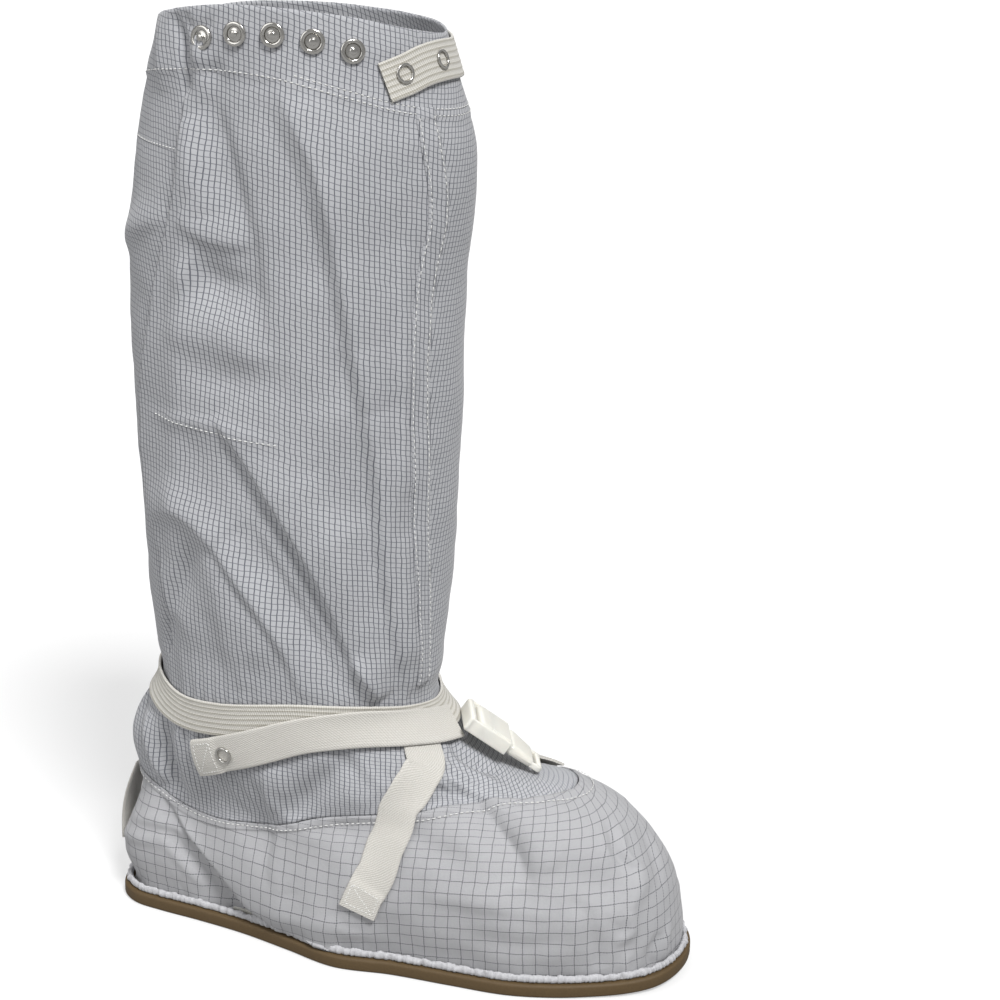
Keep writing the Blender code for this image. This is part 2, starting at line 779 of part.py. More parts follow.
def seat_matrix(place, lift):
    """Placing of a small fitting: its Z is the cloth's normal and its X runs round the boot."""
    point, by_turn, _, normal = frame_at(place.turn, place.level, skin)
    normal = Vector(normal)
    ahead = Vector(by_turn).normalized()
    side = normal.cross(ahead).normalized()
    turned = Matrix((side.cross(normal), side, normal)).transposed().to_4x4()
    seat = stand_over_origin(point + np.array(normal) * lift)
    return Matrix.Translation(Vector(seat)) @ turned


def turned_body(name, profile, place, lift, material, parts):
    """Turned body from a profile of radii and heights, run from top to bottom outside."""
    def build(shape):
        corners = [shape.verts.new((radius, 0.0, height)) for radius, height in profile]
        for one, other in zip(corners, corners[1:]):
            shape.edges.new((one, other))
    item = new_object(name, build, material, parts)
    screw = item.modifiers.new("turn", "SCREW")
    screw.steps = TURN_STEPS
    screw.render_steps = TURN_STEPS
    screw.use_merge_vertices = True
    screw.merge_threshold = 0.00001
    screw.use_smooth_shade = False
    item.matrix_world = seat_matrix(place, lift)
    return item


def build_snaps(metal, parts):
    """Snap studs of the collar, and the ring snaps of tab and strap."""
    radius = STUD_DIAMETER / 2.0
    stud = [(share * radius, rise * STUD_HEIGHT) for share, rise in STUD_PROFILE]
    for number in range(STUD_COUNT):
        share = number / (STUD_COUNT - 1)
        place = PathPoint(
            FIRST_STUD.turn + share * (LAST_STUD.turn - FIRST_STUD.turn),
            FIRST_STUD.level
            + share * (LAST_STUD.level - FIRST_STUD.level)
            + STUD_ARCH * math.sin(math.pi * share),
        )
        turned_body(f"collar_stud_{number + 1}", stud, place, TAB_LIFT, metal, parts)
    bore = RING_BORE / 2.0
    rim = RING_DIAMETER / 2.0
    ring = [
        (bore + share * (rim - bore), rise * RING_HEIGHT) for share, rise in RING_PROFILE
    ]
    on_tab = TAB_LIFT + ELASTIC_THICKNESS + STRAP_GAP
    for number, place in enumerate(TAB_RING_PLACES, start=1):
        turned_body(f"tab_ring_{number}", ring, place, on_tab, metal, parts)
    on_strap = SNAP_STRAP_LIFT + WEBBING_THICKNESS + STRAP_GAP
    turned_body("strap_ring", ring, STRAP_RING_PLACE, on_strap, metal, parts)


def box(name, low, high, rounding, collection):
    """Box between two corners, with rounded edges."""
    bpy.ops.mesh.primitive_cube_add(size=1.0)
    item = bpy.context.active_object
    item.name = name
    size = [one - other for one, other in zip(high, low)]
    centre = [(one + other) / 2.0 for one, other in zip(high, low)]
    item.data.transform(Matrix.Translation(centre) @ Matrix.Diagonal((*size, 1.0)))
    for collection_of_item in list(item.users_collection):
        collection_of_item.objects.unlink(item)
    collection.objects.link(item)
    if rounding:
        bevel = item.modifiers.new("round", "BEVEL")
        bevel.width = rounding
        bevel.segments = 2
    return item


def combine(item, tool, operation, placing):
    """Cut or join one object with another, which becomes a hidden guide."""
    change = item.modifiers.new(f"{operation.lower()}_{tool.name}", "BOOLEAN")
    change.operation = operation
    change.object = tool
    tool.matrix_world = placing
    tool.hide_render = True
    tool.display_type = "WIRE"


def buckle_matrix():
    """Placing of the buckle along the instep, its X from the upper end to the lower."""
    over_elastic = STRAP_GAP + ELASTIC_THICKNESS + STRAP_GAP
    upper = skin(BUCKLE_UPPER.turn, BUCKLE_UPPER.level, over_elastic + BUCKLE_RISE)
    lower = skin(BUCKLE_LOWER.turn, BUCKLE_LOWER.level, 2.0 * STRAP_GAP)
    _, _, _, normal = frame_at(BUCKLE_LOWER.turn, BUCKLE_LOWER.level)
    ahead = Vector(lower - upper).normalized()
    side = Vector(normal).cross(ahead).normalized()
    turned = Matrix((ahead, side, ahead.cross(side))).transposed().to_4x4()
    middle = Vector(stand_over_origin((upper + lower) / 2.0))
    placing = Matrix.Translation(middle) @ turned
    return placing @ Matrix.Translation((0.0, 0.0, seat_height(placing)))


def seat_height(placing):
    """Height, along the buckle's own Z, of its back over the cloth and elastic beneath it."""
    turns = np.linspace(BUCKLE_UPPER.turn - UNDER_REACH, BUCKLE_LOWER.turn + UNDER_REACH, UNDER_COUNT)
    levels = np.linspace(SEAM_LEVEL, ANKLE_LEVEL + 1.0, UNDER_COUNT)
    cloth = skin(turns[:, None], levels[None, :])
    band = strap_rows(ANKLE_STRAP_PATH, ELASTIC_WIDTH, True, UNDER_STEP, UNDER_COLUMNS)
    elastic = skin(*band, STRAP_GAP + ELASTIC_THICKNESS)
    beneath = np.concatenate([cloth.reshape(-1, 3), elastic.reshape(-1, 3)])
    inward = np.array(placing.inverted())
    seen = stand_over_origin(beneath) @ inward[:3, :3].T + inward[:3, 3]
    covered = np.abs(seen[:, 0]) < BUCKLE_LENGTH / 2.0
    covered &= np.abs(seen[:, 1]) < BUCKLE_WIDTH / 2.0
    return seen[covered, 2].max() + BUCKLE_SEAT


def build_buckle(plastic, parts, cutters):
    """Side-release buckle, fastened: a socket with side windows and a plug with two arms."""
    placing = buckle_matrix()
    half = BUCKLE_LENGTH / 2.0
    wide = BUCKLE_WIDTH / 2.0
    high = BUCKLE_HEIGHT
    wall = BUCKLE_WALL
    gap = 2.0 * FIT_GAP
    mouth = BUCKLE_MOUTH * BUCKLE_LENGTH
    back = -half + BUCKLE_BACK * BUCKLE_LENGTH

    socket = box("buckle_socket", (-half, -wide, 0.0), (mouth, wide, high), SOCKET_ROUND, parts)
    cavity_low = (back, wall - wide, wall)
    cavity_high = (mouth + wall, wide - wall, high - wall)
    windows_low = (back + wall, -wide - wall, wall)
    windows_high = (-2.0 * wall, wide + wall, high - wall)
    slot_low = (-half + wall, wall - wide, -wall)
    slot_high = (-half + 2.5 * wall, wide - wall, high + wall)
    for name, low, top in (
        ("cavity", cavity_low, cavity_high),
        ("windows", windows_low, windows_high),
        ("socket_slot", slot_low, slot_high),
    ):
        combine(socket, box(name, low, top, 0.0, cutters), "DIFFERENCE", placing)

    body_low = (mouth + gap, wall - wide, wall / 2.0)
    body_high = (half, wide - wall, high - wall / 2.0)
    plug = box("buckle_plug", body_low, body_high, PLUG_ROUND, parts)
    inside = wall + gap
    for number, edge in enumerate((inside - wide, wide - inside - BUCKLE_ARM)):
        low = (back + wall + 2.0 * gap, edge, inside)
        top = (mouth + gap + wall, edge + BUCKLE_ARM, high - inside)
        combine(plug, box(f"arm_{number}", low, top, 0.0, cutters), "UNION", placing)
    slot_low = (half - 2.5 * wall, 2.0 * wall - wide, -wall)
    slot_high = (half - wall, wide - 2.0 * wall, high + wall)
    combine(plug, box("plug_slot", slot_low, slot_high, 0.0, cutters), "DIFFERENCE", placing)

    for item in (socket, plug):
        item.data.materials.append(plastic)
        item.matrix_world = placing


def make_material(name, colour, roughness, metallic=0.0):
    """Principled material of one colour."""
    material = bpy.data.materials.new(name)
    material.use_nodes = True
    shader = material.node_tree.nodes["Principled BSDF"]
    shader.inputs["Base Color"].default_value = (*colour, 1.0)
    shader.inputs["Roughness"].default_value = roughness
    shader.inputs["Metallic"].default_value = metallic
    material.diffuse_color = (*colour, 1.0)
    return material


def main():
    """Model the boot."""
    for item in list(bpy.data.objects):
        bpy.data.objects.remove(item, do_unlink=True)
    parts = bpy.data.collections.new("cleanroom_boot")
    bpy.context.scene.collection.children.link(parts)
    cutters = bpy.data.collections.new("cutters")
    bpy.context.scene.collection.children.link(cutters)

    rubber = make_material("sole_rubber", (0.12, 0.08, 0.04), 0.6)
    board = make_material("insole_board", (0.7, 0.7, 0.68), 0.9)
    fine = make_material("fine_check_cloth", (0.42, 0.43, 0.45), 0.8)
    coarse = make_material("coarse_check_cloth", (0.5, 0.51, 0.53), 0.75)
    white = make_material("binding_cloth", (0.65, 0.65, 0.65), 0.85)
    elastic = make_material("ribbed_elastic", (0.52, 0.52, 0.49), 0.8)
    webbing = make_material("webbing", (0.62, 0.62, 0.60), 0.8)
    metal = make_material("nickel_snap", (0.66, 0.65, 0.63), 0.25, 1.0)
    plastic = make_material("buckle_plastic", (0.62, 0.60, 0.56), 0.4)

    build_outsole(rubber, parts)
    build_insole(board, parts)
    build_binding(white, parts)
    build_foot(coarse, parts)
    build_shaft(fine, parts)
    build_front_placket(fine, parts)
    build_straps(elastic, webbing, parts)
    build_heel_loop(webbing, parts)
    build_snaps(metal, parts)
    build_buckle(plastic, parts, cutters)


main()
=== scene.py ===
"""Cleanroom boot, right foot: the looks of its cloth, webbing, buckle, snaps and ribbed sole.

Metres, +Z up, +X towards the toe, +Y towards the inner side of the foot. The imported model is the
frame, and every piece lies where its solid lies. A place on the cloth is a turn round the boot,
from the back over the outer side, and a level, from the sole up to the collar.
"""
import logging
import math
from collections.abc import Callable, Iterable, Sequence
from dataclasses import dataclass, field
from enum import Enum
from functools import cached_property
from typing import NamedTuple

import bmesh
import bpy
import numpy as np
from mathutils import Matrix, Vector, noise


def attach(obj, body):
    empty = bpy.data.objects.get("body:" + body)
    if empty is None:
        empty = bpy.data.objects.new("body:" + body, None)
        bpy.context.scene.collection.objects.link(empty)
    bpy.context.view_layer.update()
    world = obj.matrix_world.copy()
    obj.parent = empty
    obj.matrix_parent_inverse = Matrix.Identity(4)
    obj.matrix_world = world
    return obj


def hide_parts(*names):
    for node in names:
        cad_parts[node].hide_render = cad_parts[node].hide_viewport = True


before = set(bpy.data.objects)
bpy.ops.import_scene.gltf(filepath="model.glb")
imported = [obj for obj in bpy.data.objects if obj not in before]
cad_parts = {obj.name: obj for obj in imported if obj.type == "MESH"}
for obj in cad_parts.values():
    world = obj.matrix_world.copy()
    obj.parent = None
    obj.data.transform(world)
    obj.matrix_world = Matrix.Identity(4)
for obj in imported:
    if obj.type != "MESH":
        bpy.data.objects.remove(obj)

LOG = logging.getLogger("cleanroom_boot")
MM = 0.001
FULL_TURN = 2.0 * math.pi
MERGE = 0.01 * MM
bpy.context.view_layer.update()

Numbers = np.ndarray
Shape = bmesh.types.BMesh
Tree = bpy.types.NodeTree
Socket = bpy.types.NodeSocket


class Station(NamedTuple):
    """One station of the sole's outline, as shares of the heel's or the ball's width."""

    along: float
    at_heel: bool
    half: float
    shift: float


class FootRing(NamedTuple):
    """One ring round the foot: back and front ends, swell past the sole, oval mix and sag."""

    back: float
    back_height: float
    front: float
    front_height: float
    swell: float
    oval: float
    oval_half: float
    sag: float


class ShaftRing(NamedTuple):
    """One ring round the shaft: height share from ankle to collar, depth, width and lean."""

    rise: float
    depth: float
    width: float
    lean: float


class Wave(NamedTuple):
    """Rise of the collar's rim, as a share of the hem, or of the foot's seam, in levels."""

    turn: float
    rise: float


class Fold(NamedTuple):
    """A soft trough or ridge that the solids have too, as shares of the calf's width."""

    turn_from: float
    level_from: float
    turn_to: float
    level_to: float
    half_width: float
    depth: float


class Spot(NamedTuple):
    """One place on the cloth."""

    turn: float
    level: float


SOLE_STATIONS = (
    Station(0.00, True, 0.000, -0.055),
    Station(0.02, True, 0.310, -0.057),
    Station(0.05, True, 0.414, -0.056),
    Station(0.10, True, 0.465, -0.052),
    Station(0.18, True, 0.500, -0.062),
    Station(0.27, True, 0.541, -0.090),
    Station(0.36, False, 0.384, -0.081),
    Station(0.45, False, 0.438, -0.096),
    Station(0.55, False, 0.455, -0.052),
    Station(0.65, False, 0.488, -0.015),
    Station(0.75, False, 0.499, 0.006),
    Station(0.82, False, 0.469, 0.024),
    Station(0.88, False, 0.416, 0.035),
    Station(0.93, False, 0.351, 0.038),
    Station(0.97, False, 0.262, 0.040),
    Station(1.00, False, 0.000, 0.040),
)
FOOT_RINGS = (
    FootRing(0.001, 0.150, 0.980, 0.170, -0.010, 0.00, 0.45, 0.000),
    FootRing(0.005, 0.255, 0.967, 0.320, -0.010, 0.03, 0.45, 0.000),
    FootRing(0.024, 0.370, 0.938, 0.460, -0.028, 0.10, 0.45, 0.025),
    FootRing(0.033, 0.465, 0.880, 0.590, -0.056, 0.24, 0.42, 0.060),
    FootRing(0.028, 0.545, 0.800, 0.676, -0.080, 0.42, 0.39, 0.085),
    FootRing(0.016, 0.665, 0.712, 0.712, -0.080, 0.62, 0.41, 0.065),
    FootRing(0.030, 0.800, 0.640, 0.800, -0.060, 0.82, 0.46, 0.030),
)
SHAFT_RINGS = (
    ShaftRing(0.060, 0.900, 0.880, 0.000),
    ShaftRing(0.140, 0.932, 0.925, -0.006),
    ShaftRing(0.265, 0.955, 0.960, -0.006),
    ShaftRing(0.400, 0.985, 0.985, -0.009),
    ShaftRing(0.530, 1.000, 1.000, -0.011),
    ShaftRing(0.650, 1.000, 1.000, -0.009),
    ShaftRing(0.750, 1.002, 1.000, 0.004),
    ShaftRing(0.840, 0.975, 0.985, 0.018),
    ShaftRing(0.925, 0.895, 0.940, 0.008),
    ShaftRing(1.000, 0.815, 0.915, 0.003),
)
COLLAR_WAVES = (
    Wave(-0.10, -0.10),
    Wave(0.00, -0.34),
    Wave(0.12, 0.04),
    Wave(0.22, 0.24),
    Wave(0.34, 0.17),
    Wave(0.44, -0.06),
    Wave(0.52, -0.18),
    Wave(0.65, -0.12),
    Wave(0.80, -0.06),
    Wave(0.90, -0.10),
    Wave(1.00, -0.34),
    Wave(1.12, 0.04),
)
HEM_WAVES = (
    Wave(-0.10, 0.10),
    Wave(0.00, 0.12),
    Wave(0.10, 0.20),
    Wave(0.20, 0.27),
    Wave(0.28, 0.20),
    Wave(0.34, 0.00),
    Wave(0.39, -0.17),
    Wave(0.45, -0.26),
    Wave(0.53, -0.28),
    Wave(0.65, -0.10),
    Wave(0.80, 0.02),
    Wave(0.90, 0.10),
    Wave(1.00, 0.12),
    Wave(1.10, 0.20),
)
SEAM_WAVES = (
    Wave(-0.10, 0.00),
    Wave(0.00, 0.00),
    Wave(0.08, -0.10),
    Wave(0.14, -0.95),
    Wave(0.19, -0.50),
    Wave(0.25, 0.25),
    Wave(0.33, 0.45),
    Wave(0.40, 0.75),
    Wave(0.45, 0.40),
    Wave(0.51, 0.05),
    Wave(0.60, -0.10),
    Wave(0.75, 0.00),
    Wave(0.90, 0.00),
    Wave(1.00, 0.00),
    Wave(1.08, -0.10),
)
FOLDS = (
    Fold(0.205, 17.8, 0.215, 15.0, 0.110, -0.020),
    Fold(0.215, 15.0, 0.245, 12.8, 0.110, -0.016),
    Fold(0.185, 18.2, 0.185, 15.0, 0.060, 0.014),
    Fold(0.185, 15.0, 0.150, 11.0, 0.060, 0.014),
    Fold(0.290, 17.4, 0.350, 13.5, 0.140, 0.016),
    Fold(0.280, 12.4, 0.350, 10.9, 0.110, -0.026),
    Fold(0.350, 12.2, 0.400, 10.6, 0.080, 0.020),
    Fold(0.190, 12.2, 0.250, 10.8, 0.090, 0.018),
    Fold(0.115, 5.0, 0.165, 1.9, 0.080, -0.028),
    Fold(0.165, 5.0, 0.205, 1.9, 0.080, 0.020),
    Fold(0.410, 6.3, 0.350, 3.4, 0.090, -0.026),
    Fold(0.440, 5.8, 0.395, 2.8, 0.090, 0.016),
)


def curve_through(knots: Sequence[float], values: Sequence[float], at: Numbers) -> Numbers:
    """Smooth curve through the values at the knots.

    Args:
        knots: places that rise.
        values: the curve's value at each knot.
        at: places to read.

    Returns:
        The curve's value at each place.
    """
    knots = np.asarray(knots, dtype=float)
    values = np.asarray(values, dtype=float)
    at = np.asarray(at, dtype=float)
    slopes = np.gradient(values, knots)
    place = np.clip(np.searchsorted(knots, at, side="right") - 1, 0, len(knots) - 2)
    span = knots[place + 1] - knots[place]
    t = np.clip((at - knots[place]) / span, 0.0, 1.0)
    start = (1.0 + 2.0 * t) * (1.0 - t) ** 2 * values[place]
    start_slope = t * (1.0 - t) ** 2 * span * slopes[place]
    end = t * t * (3.0 - 2.0 * t) * values[place + 1]
    end_slope = t * t * (t - 1.0) * span * slopes[place + 1]
    return start + start_slope + end + end_slope


def smooth_step(value: Numbers, low: float, high: float) -> Numbers:
    """Soft step from 0 at low to 1 at high."""
    t = np.clip((np.asarray(value) - low) / (high - low), 0.0, 1.0)
    return t * t * (3.0 - 2.0 * t)


def way_along(line: Numbers) -> Numbers:
    """Way from a line's first point to each of its points."""
    return np.concatenate([[0.0], np.cumsum(np.linalg.norm(np.diff(line, axis=0), axis=-1))])


def turn_on(path: Sequence[Spot], level: Numbers) -> Numbers:
    """Turn of a rising path at a level."""
    return np.interp(level, [spot.level for spot in path], [spot.turn for spot in path])


@dataclass(frozen=True)
class Last:
    """Form of the boot: the surface that cloth, straps and fittings follow, as in the solids."""

    sole_length: float = 0.302
    ball_width: float = 0.111
    heel_width: float = 0.070
    sole_thickness: float = 0.007
    toe_spring: float = 0.0025
    spring_start: float = 0.78
    ankle_height: float = 0.128
    ankle_depth: float = 0.146
    ankle_width: float = 0.106
    collar_height: float = 0.462
    calf_depth: float = 0.166
    calf_width: float = 0.124
    axis_from_heel: float = 0.096
    axis_to_outer: float = 0.004
    hem_depth: float = 0.034
    binding_height: float = 0.0038
    binding_width: float = 0.0024
    binding_inset: float = 0.0016
    fit_gap: float = 0.0003
    fade_levels: float = 3.0
    seam_level: int = 6

    @property
    def ankle_level(self) -> int:
        """Level of the ring at the ankle."""
        return len(FOOT_RINGS) + 2

    @property
    def collar_level(self) -> int:
        """Level of the ring at the collar's rim."""
        return self.ankle_level + len(SHAFT_RINGS)

    @cached_property
    def hem_level(self) -> float:
        """Level of the collar's hem."""
        height = self.collar_height - self.hem_depth
        return float(np.interp(height, self.rings[1], self.levels))

    @cached_property
    def station_columns(self) -> tuple[Numbers, Numbers, Numbers]:
        """Angles, half widths and sideways shifts of the sole's stations."""
        widths = [self.heel_width if row.at_heel else self.ball_width for row in SOLE_STATIONS]
        angles = np.arccos([1.0 - 2.0 * row.along for row in SOLE_STATIONS])
        halves = np.array([row.half * width for row, width in zip(SOLE_STATIONS, widths)])
        shifts = np.array([row.shift * width for row, width in zip(SOLE_STATIONS, widths)])
        return angles, halves, shifts

    def sole_half(self, angle: Numbers) -> Numbers:
        """Half width of the sole at an angle from the heel's back."""
        angles, halves, _ = self.station_columns
        return curve_through(angles, halves, angle)

    def sole_shift(self, angle: Numbers) -> Numbers:
        """Sideways shift of the sole's centre line at an angle from the heel's back."""
        angles, _, shifts = self.station_columns
        return curve_through(angles, shifts, angle)

    def spring(self, along: Numbers) -> Numbers:
        """Rise of the sole towards the toe."""
        start = self.spring_start * self.sole_length
        share = np.clip((along - start) / (self.sole_length - start), 0.0, 1.0)
        return self.toe_spring * share ** 2

    def split_turn(self, turn: Numbers) -> tuple[Numbers, Numbers]:
        """Angle from the back, 0 to pi, and the side: -1 on the outer side, 1 on the inner."""
        angle = FULL_TURN * (np.asarray(turn, dtype=float) % 1.0)
        outer = angle <= math.pi
        return np.where(outer, angle, FULL_TURN - angle), np.where(outer, -1.0, 1.0)

    def outline(self, turn: Numbers, inset: Numbers, height: Numbers) -> Numbers:
        """Points of the sole's outline in the frame, drawn in by an inset, at a height."""
        angle, side = self.split_turn(turn)
        along = inset + (self.sole_length - 2.0 * inset) * (1.0 - np.cos(angle)) / 2.0
        half = self.sole_half(angle) - inset * np.sqrt(np.abs(np.sin(angle)))
        across = self.sole_shift(angle) + side * np.maximum(half, 0.0)
        return np.stack([along - self.axis_from_heel, across, height + self.spring(along)], axis=-1)

    @cached_property
    def rings(self) -> Numbers:
        """Every ring of foot and shaft in metres, one row for each quantity."""
        floor = self.sole_thickness + self.fit_gap
        rise = self.ankle_height - floor
        inset = self.binding_inset + self.binding_width + 2.0 * self.fit_gap
        toe = self.sole_length - inset
        over_binding = floor + self.binding_height + self.fit_gap
        rows = [(inset, z, toe, z, -inset, 0.0, 0.0, 0.0) for z in (floor, over_binding)]
        for ring in FOOT_RINGS:
            rows.append((
                ring.back * self.sole_length,
                floor + ring.back_height * rise,
                ring.front * self.sole_length,
                floor + ring.front_height * rise,
                ring.swell * self.ball_width,
                ring.oval,
                ring.oval_half * self.ball_width,
                ring.sag * self.ankle_height,
            ))
        ankle = (self.axis_from_heel, self.ankle_height, self.ankle_depth, self.ankle_width)
        rows.append(self.oval_ring(*ankle))
        for ring in SHAFT_RINGS:
            rows.append(self.oval_ring(
                self.axis_from_heel + ring.lean * self.calf_depth,
                self.ankle_height + ring.rise * (self.collar_height - self.ankle_height),
                ring.depth * self.calf_depth,
                ring.width * self.calf_width,
            ))
        return np.array(rows).T

    @staticmethod
    def oval_ring(centre: float, height: float, depth: float, width: float) -> tuple[float, ...]:
        """Level ring round the leg, in the same columns as a ring of the foot."""
        return (centre - depth / 2.0, height, centre + depth / 2.0, height, 0.0, 1.0, width / 2.0, 0.0)

    @cached_property
    def levels(self) -> Numbers:
        """Number of each ring."""
        return np.arange(self.rings.shape[1])

    def wave(self, waves: Sequence[Wave], turn: Numbers) -> Numbers:
        """Value of a table of waves at a turn."""
        return curve_through([row.turn for row in waves], [row.rise for row in waves], np.asarray(turn) % 1.0)

    def hem_at(self, turn: Numbers) -> Numbers:
        """Level of the hem's waving seam at a turn."""
        return self.hem_level + self.wave(HEM_WAVES, turn)

    def bare(self, turn: Numbers, level: Numbers) -> Numbers:
        """Outer face of foot and shaft before its folds, in the frame."""
        turn, level = np.broadcast_arrays(np.asarray(turn, dtype=float), np.asarray(level, dtype=float))
        back, low, front, high, swell, oval, oval_half, sag = (
            curve_through(self.levels, column, level) for column in self.rings
        )
        angle, side = self.split_turn(turn)
        share = (1.0 - np.cos(angle)) / 2.0
        along = back + (front - back) * share
        foot_half = np.maximum(self.sole_half(angle) + swell * np.sqrt(np.abs(np.sin(angle))), 0.0)
        half = (1.0 - oval) * foot_half + oval * oval_half * np.sin(angle)
        centre = (1.0 - oval) * self.sole_shift(angle) - oval * self.axis_to_outer
        # share * (1 - share) ** 2 peaks at 4 / 27, so the sag is the greatest drop.
        height = low + (high - low) * share - sag * 27.0 / 4.0 * share * (1.0 - share) ** 2
        on_sole = np.clip(1.0 - level / self.fade_levels, 0.0, 1.0)
        height = height + self.spring(along) * on_sole
        near_rim = np.clip(1.0 - (self.collar_level - level) / self.fade_levels, 0.0, 1.0) ** 2
        height = height + self.hem_depth * self.wave(COLLAR_WAVES, turn) * near_rim
        return np.stack([along - self.axis_from_heel, centre + side * half, height], axis=-1)

    def slopes(self, turn: Numbers, level: Numbers) -> tuple[Numbers, Numbers, Numbers, Numbers]:
        """Point of the bare face, its slopes by turn and by level, and its outward normal."""
        step = 1e-3
        turn = np.asarray(turn, dtype=float)
        level = np.asarray(level, dtype=float)
        low = np.clip(level - step, 0.0, self.collar_level)
        high = np.clip(level + step, 0.0, self.collar_level)
        by_turn = (self.bare(turn + step, level) - self.bare(turn - step, level)) / (2.0 * step)
        by_level = (self.bare(turn, high) - self.bare(turn, low)) / (high - low)[..., None]
        normal = np.cross(by_turn, by_level)
        normal /= np.linalg.norm(normal, axis=-1, keepdims=True)
        return self.bare(turn, level), by_turn, by_level, normal

    def fold_push(self, points: Numbers) -> Numbers:
        """Push of the solids' own folds at points of the bare face."""
        push = np.zeros(points.shape[:-1])
        for fold in FOLDS:
            start = self.bare(fold.turn_from, fold.level_from)
            run = self.bare(fold.turn_to, fold.level_to) - start
            offset = points - start
            share = np.clip(offset @ run / (run @ run), 0.0, 1.0)
            away = np.linalg.norm(offset - share[..., None] * run, axis=-1)
            reach = fold.half_width * self.calf_width
            push += fold.depth * self.calf_width * np.exp(-(away / reach) ** 2)
        return push

    def skin(self, turn: Numbers, level: Numbers, lift: Numbers = 0.0) -> Numbers:
        """Point at a lift over the solids' outer face, folds included."""
        turn, level = np.broadcast_arrays(np.asarray(turn, dtype=float), np.asarray(level, dtype=float))
        point, _, _, normal = self.slopes(turn, level)
        return point + normal * (self.fold_push(point) + lift)[..., None]

    def follow_seam(self, turn: Numbers, level: Numbers) -> Numbers:
        """Level moved so that the even ring at the seam becomes the waving seam."""
        weight = np.clip(1.0 - np.abs(level - self.seam_level) / self.fade_levels, 0.0, 1.0)
        return level + self.wave(SEAM_WAVES, turn) * weight


LAST = Last()


class Crease(NamedTuple):
    """A listed crease: its route, its depth and its reach to either hand, in mm.

    The depth is outwards when positive. Left and right are those of someone who looks at the
    cloth from outside and walks along the route.
    """

    route: tuple[Spot, ...]
    depth: float
    left: float
    right: float


def route(*pairs: tuple[float, float]) -> tuple[Spot, ...]:
    """Route of a crease from pairs of turn and level."""
    return tuple(Spot(*pair) for pair in pairs)


